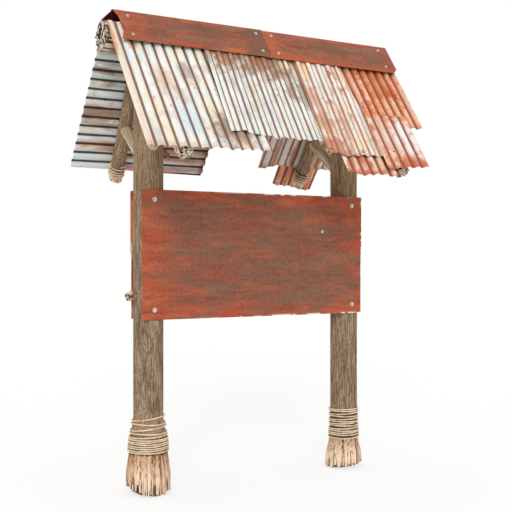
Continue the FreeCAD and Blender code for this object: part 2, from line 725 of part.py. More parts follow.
LEFT_SPAN, MIDDLE_SPAN, RIGHT_SPAN, FAR_RIGHT_SPAN = FRONT_ROW
BACK_LEFT_SPAN, BACK_MIDDLE_SPAN, INNER_RIGHT_SPAN, OUTER_RIGHT_SPAN = BACK_ROW
LOWER_RIGHT_SPAN = laid_with(RIGHT_SPAN, LOWER_RIGHT_SHEET_IN, LOWER_RIGHT_SHEET_W, FRONT_FIT)
PATCH_SPAN = laid_with(FAR_RIGHT_SPAN, PATCH_SHEET_IN, PATCH_SHEET_W, FRONT_FIT)
BACK_LOWER_SPAN = laid_with(OUTER_RIGHT_SPAN, BACK_LOWER_SHEET_IN, BACK_LOWER_SHEET_W, BACK_FIT)
PATCH_BOTTOM = FRONT_EAVE - PATCH_SHEET_RISE

SHEETS = {
    "front_left_sheet": Sheet(FRONT, BROAD, LEFT_SPAN, SHEET_TOP, FRONT_EAVE - LEFT_SHEET_RISE, [
        (0.0, 0.0), (1.0, 0.0), (1.0, 0.987), (0.854, 0.98), (0.664, 0.991), (0.561, 0.978),
        (0.475, 0.994), (0.238, 0.996), (0.0, 1.0)], 0.0, FLAT),
    "front_middle_sheet": Sheet(FRONT, RIBBED, MIDDLE_SPAN, SHEET_TOP, MIDDLE_BOTTOM, [
        (0.0, 0.0), (1.0, 0.0), (0.921, 0.978), (0.747, 0.975), (0.583, 0.983), (0.461, 0.983),
        (0.426, 0.963), (0.351, 1.0), (0.321, 0.981), (0.223, 0.974), (0.137, 0.972),
        (0.072, 0.949), (0.0, 0.946), (-0.079, 0.97)],
        MIDDLE_SKEW, MIDDLE_LEFT_LIFT, MIDDLE_RIGHT_LIFT),
    "front_right_sheet": Sheet(FRONT, WAVY, RIGHT_SPAN, SHEET_TOP, FRONT_EAVE - RIGHT_SHEET_RISE, [
        (0.0, 0.0), (1.0, 0.0), (1.289, 0.984), (0.563, 0.988), (0.331, 0.998), (0.021, 1.0),
        (-0.066, 0.973), (-0.304, 0.994), (-0.304, 0.843)], 5.0, ON_MIDDLE, ON_ROUND),
    "front_far_right_sheet": Sheet(FRONT, ROUND, FAR_RIGHT_SPAN, SHEET_TOP, SHEET_TOP + FAR_RIGHT_SHEET_L, [
        (0.0, 0.0), (1.0, 0.0), (0.944, 0.988), (0.82, 0.991), (0.313, 0.995), (0.086, 1.0)],
        2.5, FLAT),
    "front_lower_right_sheet": Sheet(
        FRONT, ROUND, LOWER_RIGHT_SPAN, FRONT_EAVE - LOWER_RIGHT_SHEET_L, FRONT_EAVE, [
        (0.0, -0.002), (1.0, -0.002), (0.969, 0.882), (0.809, 0.97), (0.593, 0.911), (0.16, 1.0),
        (0.11, 0.897), (-0.029, 0.911)], 3.0, FLAT),
    "front_patch_sheet": Sheet(FRONT, WAVY, PATCH_SPAN, PATCH_BOTTOM - PATCH_SHEET_L, PATCH_BOTTOM, [
        (0.0, -0.001), (0.104, 0.08), (1.0, 0.047), (0.919, 0.902), (0.272, 0.953), (-0.066, 0.999),
        (-0.099, 0.974)], 3.6, ON_RIGHT, ON_ROUND),
    "back_left_sheet": Sheet(BACK, ROUND, BACK_LEFT_SPAN, SHEET_TOP, BACK_EAVE - BACK_LEFT_SHEET_RISE, [
        (0.0, 0.0), (1.0, 0.0), (0.995, 1.0), (0.683, 0.995), (0.0, 0.976)], -90.0, FLAT),
    "back_middle_sheet": Sheet(BACK, RIBBED, BACK_MIDDLE_SPAN, SHEET_TOP, SHEET_TOP + BACK_MIDDLE_SHEET_L, [
        (0.0, 0.0), (1.0, 0.0), (0.988, 0.982), (0.734, 1.0), (0.453, 0.975), (0.172, 0.993),
        (-0.013, 0.979)], 0.0, ON_ROUND),
    "back_inner_right_sheet": Sheet(
        BACK, ROUND, INNER_RIGHT_SPAN, SHEET_TOP, BACK_EAVE - INNER_RIGHT_SHEET_RISE, [
        (0.0, 0.0), (1.0, 0.0), (1.0, 0.964), (0.68, 0.964), (0.5, 0.985), (0.22, 1.0)], 0.0, FLAT),
    "back_outer_right_sheet": Sheet(
        BACK, ROUND, OUTER_RIGHT_SPAN, SHEET_TOP, BACK_EAVE - OUTER_RIGHT_SHEET_RISE, [
        (0.0, 0.0), (1.0, 0.0), (0.983, 1.0), (0.858, 0.978), (0.495, 0.983), (0.054, 0.965),
        (-0.003, 0.964)], 0.0, NESTED, rib_x=INNER_RIGHT_SPAN[0]),
    "back_lower_right_sheet": Sheet(
        BACK, ROUND, BACK_LOWER_SPAN, BACK_EAVE - BACK_LOWER_SHEET_L, BACK_EAVE, [
        (0.0, 0.0), (1.0, 0.0), (0.995, 0.988), (0.793, 1.0), (0.453, 0.896), (0.153, 0.887),
        (0.029, 0.853)], 0.0, ON_NESTED),
}

# Nails into the purlins: sheet, share of its width
PURLIN_LINE = [
    ("front_left_sheet", 0.527),
    ("front_left_sheet", 0.682),
    ("front_middle_sheet", 0.515),
    ("front_middle_sheet", 0.731),
    ("front_right_sheet", 0.205),
    ("front_far_right_sheet", 0.251),
    ("back_left_sheet", 0.557),
    ("back_left_sheet", 0.765),
    ("back_middle_sheet", 0.297),
    ("back_middle_sheet", 0.891),
    ("back_inner_right_sheet", 0.549),
    ("back_outer_right_sheet", 0.156),
]
# Nails through lapped sheets: sheet, shares of its width and length
STITCHES = [
    ("front_right_sheet", -0.142, 0.959),
    ("front_right_sheet", 0.488, 0.967),
    ("front_patch_sheet", 0.102, 0.708),
    ("front_patch_sheet", 0.66, 0.145),
    ("back_lower_right_sheet", 0.19, 0.152),
    ("back_lower_right_sheet", 0.822, 0.152),
]


def sheet_nails(slope):
    """Sheet, seat and length of each nail on one slope."""
    nails = []
    for name, across in PURLIN_LINE:
        nails.append((name, SHEETS[name].spot(across, 0)[0], PURLIN_V, PURLIN_SHEET_NAIL))
    for name, across, along in STITCHES:
        nails.append((name, *SHEETS[name].spot(across, along), STITCH_NAIL))
    return [(SHEETS[name], SHEETS[name].crest_near(x, v), length)
            for name, x, v, length in nails if name.startswith(slope)]


def build_sheets():
    """Roof sheets and the nails through their crests."""
    for name, sheet in SHEETS.items():
        parts[name] = sheet.shape()
    for slope in ("front", "back"):
        reached = [name for name in parts if name.startswith(slope) and name.endswith(("_sheet", "_purlin"))]
        solids = []
        for sheet, seat, length in sheet_nails(slope):
            bore(shank_hole(seat, -sheet.normal, SHEET_NAIL_D, length), reached)
            solids.append(fixing(seat, -sheet.normal, SHEET_NAIL_D, length,
                                 SHEET_NAIL_HEAD_D, SHEET_NAIL_HEAD_H))
        parts[slope + "_sheet_nails"] = Part.makeCompound(solids)


# Ridge cap

CAP_ANGLE = math.radians(CAP_PITCH)
CAP_REST = crest_of(WAVY, ON_MIDDLE) + SHEET_GAP


def cap_fold():
    """Height of the lower cap's inner fold line, so that its lower edges rest on the highest crests."""
    lean = math.sin(PITCH) - math.tan(CAP_ANGLE) * math.cos(PITCH)
    return ROOF_APEX + (CAP_REST - lean * CAP_FLANGE * math.cos(CAP_ANGLE)) / math.cos(PITCH)


def cap_point(side, x, drop, height):
    """Point at x, drop down a flange from the inner fold and height above its inner face."""
    return Vector(x, 0, cap_fold()) + down(side, CAP_ANGLE) * drop + out(side, CAP_ANGLE) * height


def raised(height):
    """Step that lifts a cap so that its flanges stand height above the lower cap's."""
    return UP * (height / math.cos(CAP_ANGLE))


def flange_slab(side, height, outline, low, high):
    """Slab on a flange: the outline gives places along the ridge and drops from the fold."""
    points = [cap_point(side, x, drop, low) + raised(height) for x, drop in outline]
    return slab(points, out(side, CAP_ANGLE) * (high - low))


def ridge_cap(x0, x1, height):
    """Folded cap with a rounded fold and square ends."""
    inner_r = CAP_BEND_R - CAP_T
    middle = cap_point(FRONT, x0, 0, 0) + raised(height) - UP * (inner_r / math.cos(CAP_ANGLE))
    front, back = out(FRONT, CAP_ANGLE), out(BACK, CAP_ANGLE)
    edges = []
    for radius, level in ((inner_r, 0.0), (CAP_BEND_R, CAP_T)):
        feet = [cap_point(side, x0, CAP_FLANGE, level) + raised(height) for side in (FRONT, BACK)]
        bends = [middle + front * radius, middle + back * radius]
        edges.append(Part.makeLine(feet[0], bends[0]))
        edges.append(Part.Arc(bends[0], middle + UP * radius, bends[1]).toShape())
        edges.append(Part.makeLine(bends[1], feet[1]))
    for side in (FRONT, BACK):
        foot = cap_point(side, x0, CAP_FLANGE, 0) + raised(height)
        edges.append(Part.makeLine(foot, foot + out(side, CAP_ANGLE) * CAP_T))
    section = Part.Face(Part.Wire(Part.__sortEdges__(edges)))
    return section.extrude(ALONG * (x1 - x0))


def clipped(cap, height, x, inward):
    """Cap with the lower corners of one end clipped."""
    for side in (FRONT, BACK):
        corner = [(x, CAP_FLANGE - CAP_CORNER), (x, CAP_FLANGE), (x + inward * CAP_CORNER, CAP_FLANGE)]
        cap = cap.cut(flange_slab(side, height, corner, -CAP_T, 2 * CAP_T))
    return cap


def torn(cap, height, x):
    """Cap whose left end has an ear on the back flange and a hollow tear in the front one."""
    flat = (CAP_BEND_R - CAP_T) * math.tan(CAP_ANGLE) + 1.0     # drop where the fold has ended
    ear = [(x, flat), (x - CAP_EAR, CAP_EAR_DROP), (x - 0.5 * CAP_EAR, 0.68 * CAP_FLANGE), (x, CAP_FLANGE)]
    tear = [(x - CAP_T, flat), (x, flat), (x + 0.55 * CAP_TEAR, 0.24 * CAP_FLANGE),
            (x + CAP_TEAR, 0.62 * CAP_FLANGE), (x + 0.17 * CAP_TEAR, CAP_FLANGE + CAP_T),
            (x - CAP_T, CAP_FLANGE + CAP_T)]
    cap = cap.fuse(flange_slab(BACK, height, ear, 0.0, CAP_T)).removeSplitter()
    return cap.cut(flange_slab(FRONT, height, tear, -CAP_T, 2 * CAP_T))


def build_caps():
    """Two lengths of ridge cap, the left one lapped over the right one, with screws and washers."""
    lapped = CAP_T + SHEET_GAP
    lap_x = CAP_SEAM_X - CAP_LAP
    right = clipped(ridge_cap(lap_x, CAP_RIGHT_X, 0.0), 0.0, lap_x, 1)
    parts["ridge_cap_right"] = clipped(right, 0.0, CAP_RIGHT_X, -1)
    left = clipped(ridge_cap(CAP_LEFT_X, CAP_SEAM_X, lapped), lapped, CAP_SEAM_X, -1)
    parts["ridge_cap_left"] = torn(left, lapped, CAP_LEFT_X)
    reached = [name for name in parts if name.endswith("_sheet")]
    reached += ["ridge_log", "ridge_cap_left", "ridge_cap_right"]
    screws = []
    washers = []
    for x in CAP_SCREW_XS:
        face = CAP_T + (lapped if x < CAP_SEAM_X else 0.0)
        for side in (FRONT, BACK):
            inward = -out(side, CAP_ANGLE)
            for drop, length in ((CAP_SCREW_UPPER, CAP_SCREW_LONG), (CAP_SCREW_LOWER, CAP_SCREW_SHORT)):
                plate = cap_point(side, x, drop, face)
                seat = plate - inward * CAP_WASHER_T
                hole = shank_hole(seat, inward, CAP_SCREW_D, length)
                bore(hole, reached)
                washers.append(rod(plate, seat, CAP_WASHER_D / 2).cut(hole))
                screws.append(fixing(seat, inward, CAP_SCREW_D, length, CAP_SCREW_HEAD_D, CAP_SCREW_HEAD_H))
    parts["ridge_cap_screws"] = Part.makeCompound(screws)
    parts["ridge_cap_washers"] = Part.makeCompound(washers)


build_timber()
build_timber_fixings()
foot_binding("left_foot_binding", POST_X["left"], LEFT_FLARE, LEFT_WRAP_TOP, LEFT_WRAP_BOTTOM)
foot_binding("right_foot_binding", POST_X["right"], RIGHT_FLARE, RIGHT_WRAP_TOP, RIGHT_WRAP_BOTTOM)
for rafter_name in RAFTER_LINES:
    rafter_binding(rafter_name)
build_panels()
build_sheets()
build_caps()

os.makedirs("parts", exist_ok=True)
for part_name, part_shape in parts.items():
    part_shape.exportStep("parts/%s.step" % part_name)
print(len(parts), "pieces written")
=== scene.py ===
"""Dresses the town sign post: hewn logs, twine lashings, rusty plates and a patched tin roof."""

import json
import logging
import math
from dataclasses import dataclass, field, replace
from enum import Enum

import bpy
import numpy as np
from mathutils import Matrix, Vector, noise

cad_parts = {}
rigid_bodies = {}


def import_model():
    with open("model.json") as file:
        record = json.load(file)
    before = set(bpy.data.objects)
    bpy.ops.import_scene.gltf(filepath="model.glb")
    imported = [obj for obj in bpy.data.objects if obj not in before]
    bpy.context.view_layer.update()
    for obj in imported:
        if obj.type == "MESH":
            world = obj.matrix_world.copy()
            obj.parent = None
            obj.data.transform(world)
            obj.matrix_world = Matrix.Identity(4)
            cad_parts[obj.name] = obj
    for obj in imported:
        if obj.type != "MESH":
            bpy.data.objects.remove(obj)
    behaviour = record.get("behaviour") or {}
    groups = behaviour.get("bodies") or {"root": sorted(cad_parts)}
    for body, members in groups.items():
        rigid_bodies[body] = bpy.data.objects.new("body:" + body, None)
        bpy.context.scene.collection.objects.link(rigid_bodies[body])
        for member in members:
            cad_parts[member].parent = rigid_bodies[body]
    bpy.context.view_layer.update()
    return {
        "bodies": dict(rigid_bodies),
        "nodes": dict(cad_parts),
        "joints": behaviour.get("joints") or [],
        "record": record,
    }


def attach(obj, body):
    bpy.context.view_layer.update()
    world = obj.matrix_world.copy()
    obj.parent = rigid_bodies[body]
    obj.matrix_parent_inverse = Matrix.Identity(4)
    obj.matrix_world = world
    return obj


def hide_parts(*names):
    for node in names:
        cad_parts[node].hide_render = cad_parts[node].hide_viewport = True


log = logging.getLogger("town_sign_post")

Piece = bpy.types.Object
Material = bpy.types.Material
Socket = bpy.types.NodeSocket

BODY = "root"
FULL_TURN = 2 * math.pi
CLEARANCE = 0.0006  # air between a carved timber and what it bears on
WHITE = "#ffffff"


class Slope(Enum):
    """Side of the roof: the value is its direction along Y."""

    FRONT = -1
    BACK = 1


class Frame:
    """Places that the pieces share, in metres, the same as in the part's source."""

    POST_X = {"left": -0.856, "right": 0.802}
    POST_R = 0.105
    POST_TOP = 3.085
    RIDGE_Z = 3.150
    RIDGE_R = 0.110
    RIDGE_END = 1.208
    SHEET_LEFT = -1.175
    ROOF_SEAT = 0.074
    PITCH = math.radians(52.0)
    APEX = RIDGE_Z + ROOF_SEAT / math.cos(PITCH)
    RAFTER_R = 0.052
    TWINE_R = 0.005

    @staticmethod
    def down(slope: Slope) -> Vector:
        """Direction down a slope."""
        return Vector((0.0, slope.value * math.cos(Frame.PITCH), -math.sin(Frame.PITCH)))

    @staticmethod
    def out(slope: Slope) -> Vector:
        """Direction square to a slope, away from the roof space."""
        return Vector((0.0, slope.value * math.sin(Frame.PITCH), math.cos(Frame.PITCH)))

    @staticmethod
    def on_slope(slope: Slope, x: float, v: float, w: float) -> Vector:
        """Point on a slope.

        Args:
            slope: side of the roof.
            x: place along the ridge.
            v: distance down the slope.
            w: height above the roof plane.

        Returns:
            The point in the object's frame.
        """
        return Vector((x, 0.0, Frame.APEX)) + Frame.down(slope) * v + Frame.out(slope) * w


def linear(colour: str) -> tuple[float, float, float, float]:
    """Turns an sRGB hex colour to linear RGBA.

    Args:
        colour: six hex digits after a hash sign.

    Returns:
        Red, green, blue and an alpha of 1.
    """
    parts = [int(colour[i:i + 2], 16) / 255.0 for i in (1, 3, 5)]
    return (*[c / 12.92 if c <= 0.04045 else ((c + 0.055) / 1.055) ** 2.4 for c in parts], 1.0)


def clear_selection() -> None:
    """Leaves edit mode and deselects everything."""
    if bpy.context.object and bpy.context.object.mode != "OBJECT":
        bpy.ops.object.mode_set(mode="OBJECT")
    bpy.ops.object.select_all(action="DESELECT")


def select_only(piece: Piece) -> None:
    """Makes a piece the only selected one, and active.

    Args:
        piece: object to select.
    """
    clear_selection()
    piece.select_set(True)
    bpy.context.view_layer.objects.active = piece


def edit_only(piece: Piece, kind: str, chosen: list[bool]) -> None:
    """Enters edit mode on the active piece with only some of its edges or faces selected.

    Args:
        piece: active mesh object.
        kind: EDGE or FACE.
        chosen: whether each edge or face is selected.
    """
    bpy.ops.object.mode_set(mode="EDIT")
    bpy.ops.mesh.select_mode(type=kind)
    bpy.ops.mesh.select_all(action="DESELECT")
    bpy.ops.object.mode_set(mode="OBJECT")
    (piece.data.edges if kind == "EDGE" else piece.data.polygons).foreach_set("select", chosen)
    bpy.ops.object.mode_set(mode="EDIT")


def cut_edges(piece: Piece, axis: int, cuts: int) -> None:
    """Cuts the long edges along an axis of a unit-sized piece into equal lengths.

    Args:
        piece: active mesh object.
        axis: number of the axis.
        cuts: cuts in each edge.
    """
    places = points_of(piece)[:, axis]
    ends = [places[list(edge.vertices)] for edge in piece.data.edges]
    edit_only(piece, "EDGE", [bool(abs(first - second) > 0.5) for first, second in ends])
    bpy.ops.mesh.subdivide(number_cuts=cuts)
    bpy.ops.object.mode_set(mode="OBJECT")


def points_of(piece: Piece) -> np.ndarray:
    """Reads the vertex positions of a mesh.

    Args:
        piece: mesh object.

    Returns:
        One row of three per vertex.
    """
    flat = np.empty(len(piece.data.vertices) * 3)
    piece.data.vertices.foreach_get("co", flat)
    return flat.reshape(-1, 3)


def move_points(piece: Piece, points: np.ndarray) -> None:
    """Writes vertex positions back to a mesh."""
    piece.data.vertices.foreach_set("co", points.ravel())
    piece.data.update()


def store(piece: Piece, name: str, values: np.ndarray) -> None:
    """Keeps a number or a vector for each vertex as a named attribute.

    Args:
        piece: mesh object.
        name: attribute name that the materials read.
        values: one number or one row of three per vertex.
    """
    kind, key = ("FLOAT_VECTOR", "vector") if values.ndim == 2 else ("FLOAT", "value")
    data = piece.data.attributes.get(name) or piece.data.attributes.new(name, kind, "POINT")
    data.data.foreach_set(key, values.astype(np.float32).ravel())


def paint(piece: Piece, *materials: Material) -> None:
    """Gives a mesh new materials in place of its own.

    Args:
        piece: mesh object.
        materials: the new ones, in the order that its faces number them.
    """
    piece.data.materials.clear()
    for material in materials:
        piece.data.materials.append(material)


def join(pieces: list[Piece], name: str) -> Piece:
    """Joins meshes into the first one.

    Args:
        pieces: meshes that make one piece.
        name: name of the result.

    Returns:
        The joined object.
    """
    select_only(pieces[0])
    for piece in pieces:
        piece.select_set(True)
    bpy.ops.object.join()
    pieces[0].name = name
    return pieces[0]


def install(piece: Piece, node: str) -> None:
    """Puts a finished piece in the place of a frame node.

    Args:
        piece: mesh that stands for the node.
        node: name of the node.
    """
    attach(piece, BODY)
    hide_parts(node)
    log.info("%s: %d faces", piece.name, len(piece.data.polygons))


def coat(frame: dict, node: str, material: Material) -> None:
    """Gives a frame node one material.

    Args:
        node: name of the node.
        material: its finish.
    """
    paint(frame["nodes"][node], material)
    log.info("%s: %s", node, material.name)


class Tree:
    """Node tree of one procedural material, or of the sky."""

    def __init__(self, name: str, owner: bpy.types.World | None = None) -> None:
        """Empties the tree of a new material, or of another owner.

        Args:
            name: name of the new material.
            owner: what has the tree, where that isn't a new material.
        """
        self.owner = owner or bpy.data.materials.new(name)
        self.owner.use_nodes = True
        self.owner.node_tree.nodes.clear()

    def add(self, kind: str, inputs: dict | None = None, out: str = "", ramp: tuple = (),
            **settings: object) -> Socket | None:
        """Adds a node with its settings and links.

        Args:
            kind: type of node, without the word ShaderNode.
            inputs: input name or number to a socket, a number, a vector or a hex colour.
            out: name of the wanted output, or the first one.
            ramp: places and hex colours of a colour ramp.
            settings: the node's own settings.

        Returns:
            The wanted output socket, if the node has outputs.
        """
        node = self.owner.node_tree.nodes.new("ShaderNode" + kind)
        for key, value in settings.items():
            setattr(node, key, value)
        if ramp:
            stops = node.color_ramp.elements
            while len(stops) < len(ramp):
                stops.new(0.5)
            for stop, (place, colour) in zip(stops, ramp):
                stop.position = place
                stop.color = linear(colour)
        for key, value in (inputs or {}).items():
            usable = [s for s in node.inputs if not s.is_unavailable]
            socket = usable[key] if isinstance(key, int) else next(s for s in usable if s.name == key)
            if isinstance(value, Socket):
                self.owner.node_tree.links.new(value, socket)
            else:
                socket.default_value = linear(value) if isinstance(value, str) else value
        usable = [s for s in node.outputs if not s.is_unavailable]
        return next((s for s in usable if s.name == out), usable[0] if usable else None)

    def fibres(self, grain: Socket, size_mm: tuple[float, float], detail: float, roughness: float = 0.5,
               distortion: float = 0.0, at: tuple[float, float, float] = (0.0, 0.0, 0.0)) -> Socket:
        """Draws a chance pattern out along Z.

        Args:
            grain: place on the piece.
            size_mm: width and length of a fibre.
            detail: octaves of finer change.
            roughness: weight of the finer octaves.
            distortion: how far the fibres swirl.
            at: place in the endless pattern.

        Returns:
            The chance value.
        """
        wide, long = size_mm
        place = self.add("Mapping", {"Vector": grain, "Location": at,
                                     "Scale": (1000 / wide, 1000 / wide, 1000 / long)})
        return self.add("TexNoise", {"Vector": place, "Scale": 1.0, "Detail": detail, "Roughness": roughness,
                                     "Distortion": distortion})

    def chances(self, place: Socket, scale: tuple[float, float, float], at: tuple[float, float, float],
                roughness: float, distortion: float) -> tuple[Socket, ...]:
        """Draws three chance patterns of one grain.

        Args:
            place: place on the piece.
            scale: grains in a metre along each axis.
            at: place in the endless pattern.
            roughness: weight of the finer octaves.
            distortion: how far the grains swirl.

        Returns:
            Three chance values that differ from each other.
        """
        spot = self.add("Mapping", {"Vector": place, "Location": at, "Scale": scale})
        colour = self.add("TexNoise", {"Vector": spot, "Scale": 1.0, "Detail": 5.0, "Roughness": roughness,
                                       "Distortion": distortion}, out="Color")
        return tuple(self.add("SeparateColor", {0: colour}).node.outputs)

    def soil(self, layer: Socket, share: float, value: Socket, dirt: tuple[float, str],
             clean: float) -> Socket:
        """Darkens a layer where a chance value is low.

        Args:
            layer: colour so far.
            share: how much of the dirt shows.
            value: chance value.
            dirt: value up to which the dirt is full, and its colour.
            clean: value from which there is none.

        Returns:
            The colour with its dirt.
        """
        shade = self.add("ValToRGB", {"Fac": value}, ramp=(dirt, (clean, WHITE)))
        return self.add("Mix", {"Factor": share, "A": layer, "B": shade}, data_type="RGBA",
                        blend_type="MULTIPLY")

    def veils(self, layer: Socket, rows: list[tuple]) -> Socket:
        """Lays soft patches of colour over each other.

        Args:
            layer: colour so far.
            rows: measure, where it starts and is full, strength and colour of each patch.

        Returns:
            The colour with all the patches.
        """
        for source, start, full, most, colour in rows:
            mask = self.add("MapRange", {"Value": source, "From Min": start, "From Max": full,
                                         "To Max": most}, interpolation_type="SMOOTHSTEP")
            layer = self.add("Mix", {"Factor": mask, "A": layer, "B": colour}, data_type="RGBA")
        return layer

    def finish(self, shader: Socket, output: str = "OutputMaterial") -> Material | bpy.types.World:
        """Sends a shader to the output."""
        self.add(output, {"Surface": shader})
        return self.owner


@dataclass(frozen=True)
class HewnLog:
    """Weathered peeled pine: grey-brown, with long fibres, pale flakes and dark drying splits, paler where
    worn and where light is painted high on the posts, with painted shade under the twine and round a frayed
    end.
    """

    name: str
    dark: str = "#5a4c3e"
    middle: str = "#9a856d"
    light: str = "#d0b596"
    flake: str = "#dcbb9a"
    split_and_shade: str = "#41352a"
    worn_and_lit: str = "#c4a785"
    fibre_mm: tuple[float, float] = (6.0, 150.0)
    hair_mm: tuple[float, float] = (2.6, 60.0)
    flake_mm: tuple[float, float] = (13.0, 95.0)
    grit_mm: float = 8.0  # wood pores are finer, too fine to show
    patch_mm: tuple[float, float] = (71.43, 320.0)

    def material(self) -> Material:
        """Builds the material.

        Returns:
            The finish of a log's side.
        """
        t = Tree(self.name)
        grain = t.add("Attribute", attribute_name="grain", out="Vector")
        cleft_and_shade, tone = (t.add("Attribute", attribute_name=name, out="Fac") for name in ("cleft_and_shade", "tone"))
        fibre = t.fibres(grain, self.fibre_mm, 5.0, 0.65, 0.5)
        hair = t.fibres(grain, self.hair_mm, 3.0, 0.65, 0.5)
        both = t.add("Mix", {"Factor": 0.42, "A": fibre, "B": hair}, data_type="FLOAT")
        colour = t.add("ValToRGB", {"Fac": both}, ramp=(
            (0.38, self.dark), (0.455, "#84725d"), (0.51, self.middle), (0.575, self.light)))
        # Lighter ramp: worn wood, and high on the posts painted light against the roof's shade.
        worn = t.add("ValToRGB", {"Fac": both}, ramp=(
            (0.36, "#6e5943"), (0.46, "#a58b6e"), (0.54, self.worn_and_lit), (0.64, "#dfc5a3")))
        layer = t.add("Mix", {"Factor": tone, "A": colour, "B": worn}, data_type="RGBA")
        flakes = t.fibres(grain, self.flake_mm, 4.0, 0.7, 1.4, at=(2.3, 5.1, 0.4))
        loose = t.add("MapRange", {"Value": flakes, "From Min": 0.56, "From Max": 0.63, "To Max": 0.6})
        layer = t.add("Mix", {"Factor": loose, "A": layer, "B": self.flake}, data_type="RGBA")
        grit = t.add("TexNoise", {"Vector": grain, "Scale": 1000 / self.grit_mm, "Detail": 3.0})
        layer = t.soil(layer, 0.7, grit, (0.36, "#a3968a"), 0.54)
        layer = t.soil(layer, 0.7, t.fibres(grain, self.patch_mm, 3.0), (0.34, "#d5cfc5"), 0.62)
        # Dark drying splits, and painted shade under the twine and round a frayed end.
        dark_clefts_and_shade = t.add("MapRange", {"Value": cleft_and_shade, "From Min": 0.35, "From Max": 0.95, "To Max": 0.85})
        layer = t.add("Mix", {"Factor": dark_clefts_and_shade, "A": layer, "B": self.split_and_shade}, data_type="RGBA")
        bump = t.add("Bump", {"Height": both, "Strength": 0.6, "Distance": 0.005})
        return t.finish(t.add("BsdfPrincipled", {
            "Base Color": layer, "Roughness": 0.88, "Specular IOR Level": 0.2, "Normal": bump}))


@dataclass(frozen=True)
class FrayedWood:
    """Fresh splintered wood: pale peach fibres in bundles, dull at the lashing, dark in its cracks, with
    painted shade where the slivers part and on their faces toward the core.
    """

    name: str
    slit_level: float
    pale: str = "#fee6cb"
    warm: str = "#f0c5a0"
    pink: str = "#dba986"
    brown: str = "#74573f"
    gap_and_shade: str = "#3f3226"
    dull: str = "#b39472"
    fibre_mm: tuple[float, float] = (4.5, 130.0)
    slit_mm: tuple[float, float] = (11.0, 150.0)
    clump_mm: float = 70.0

    def material(self) -> Material:
        """Builds the material.

        Returns:
            The finish of the slivers.
        """
        t = Tree(self.name)
        grain = t.add("Attribute", attribute_name="grain", out="Vector")
        cleft_and_shade, tone, bound = (t.add("Attribute", attribute_name=name, out="Fac")
                              for name in ("cleft_and_shade", "tone", "bound"))
        fibre = t.fibres(grain, self.fibre_mm, 5.0, 0.66)
        shift = t.add("MapRange", {"Value": tone, "To Min": -0.14, "To Max": 0.15})
        toned = t.add("Math", {0: fibre, 1: shift}, operation="ADD")
        layer = t.add("ValToRGB", {"Fac": toned}, ramp=(
            (0.32, self.brown), (0.41, self.pink), (0.49, self.warm), (0.58, self.pale)))
        near = t.add("MapRange", {"Value": bound, "From Min": 0.35, "From Max": 1.0, "To Max": 0.75})
        layer = t.add("Mix", {"Factor": near, "A": layer, "B": self.dull}, data_type="RGBA",
                      blend_type="MULTIPLY")
        clump = t.add("TexNoise", {"Vector": grain, "Scale": 1000 / self.clump_mm, "Detail": 2.0})
        most = t.add("MapRange", {"Value": clump, "From Min": 0.42, "From Max": 0.58, "To Min": 0.3})
        # Painted shade where the slivers part and on their faces toward the core, in clumps; the slits below
        # are real cracks.
        dark_clefts_and_shade = t.add("MapRange", {"Value": cleft_and_shade, "From Min": 0.2, "From Max": 0.85, "To Max": most})
        slits = t.fibres(grain, self.slit_mm, 2.0, at=(3.1, 0.7, 1.9))
        slit = t.add("MapRange", {"Value": slits, "From Min": self.slit_level,
                                  "From Max": self.slit_level - 0.06, "To Max": 0.85})
        dark = t.add("Math", {0: dark_clefts_and_shade, 1: slit}, operation="MAXIMUM")
        layer = t.add("Mix", {"Factor": dark, "A": layer, "B": self.gap_and_shade}, data_type="RGBA")
        bump = t.add("Bump", {"Height": fibre, "Strength": 0.6, "Distance": 0.004})
        return t.finish(t.add("BsdfPrincipled", {
            "Base Color": layer, "Roughness": 0.9, "Specular IOR Level": 0.18, "Normal": bump}))


@dataclass(frozen=True)
class CrackedEnd:
    """Sawn and weathered log end: cream wood broken by dark drying cracks, with painted shade in its hollow
    middle.
    """

    name: str
    crack_mm: float
    crack_share: float
    cream: str = "#fff6e6"
    tan: str = "#f8dcb4"
    crack: str = "#201913"

    def material(self) -> Material:
        """Builds the material.

        Returns:
            The finish of a log's end.
        """
        t = Tree(self.name)
        grain = t.add("Attribute", attribute_name="grain", out="Vector")
        cleft_and_shade = t.add("Attribute", attribute_name="cleft_and_shade", out="Fac")
        rate = 1000 / self.crack_mm
        warp = t.add("TexNoise", {"Vector": grain, "Scale": rate, "Detail": 4.0}, out="Color")
        bent = t.add("VectorMath", {0: warp, 1: (0.05, 0.05, 0.05), 2: grain}, operation="MULTIPLY_ADD")
        flat = t.add("Mapping", {"Vector": bent, "Scale": (rate * 1.9, rate, 1.0)})
        cells = t.add("TexVoronoi", {"Vector": flat, "Scale": 1.0}, out="Distance",
                      feature="DISTANCE_TO_EDGE")
        patch = t.add("TexNoise", {"Vector": flat, "Scale": 0.9, "Detail": 4.0})
        bleached = t.add("MapRange", {"Value": patch, "From Min": 0.38, "From Max": 0.6})
        layer = t.add("Mix", {"Factor": bleached, "A": self.tan, "B": self.cream}, data_type="RGBA")
        width = t.add("MapRange", {"Value": patch, "From Min": 0.62, "From Max": 0.36, "To Min": 0.04,
                                   "To Max": self.crack_share})
        opening = t.add("Math", {0: cells, 1: width}, operation="DIVIDE")
        crack = t.add("MapRange", {"Value": opening, "From Min": 1.2, "From Max": 0.6})
        # Cracks, and painted shade in the hollow middle of the end.
        dark_clefts_and_shade = t.add("Math", {0: crack, 1: cleft_and_shade}, operation="MAXIMUM")
        layer = t.add("Mix", {"Factor": dark_clefts_and_shade, "A": layer, "B": self.crack}, data_type="RGBA")
        bump = t.add("Bump", {"Height": opening, "Strength": 0.5, "Distance": 0.004})
        return t.finish(t.add("BsdfPrincipled", {
            "Base Color": layer, "Roughness": 0.9, "Specular IOR Level": 0.18, "Normal": bump}))


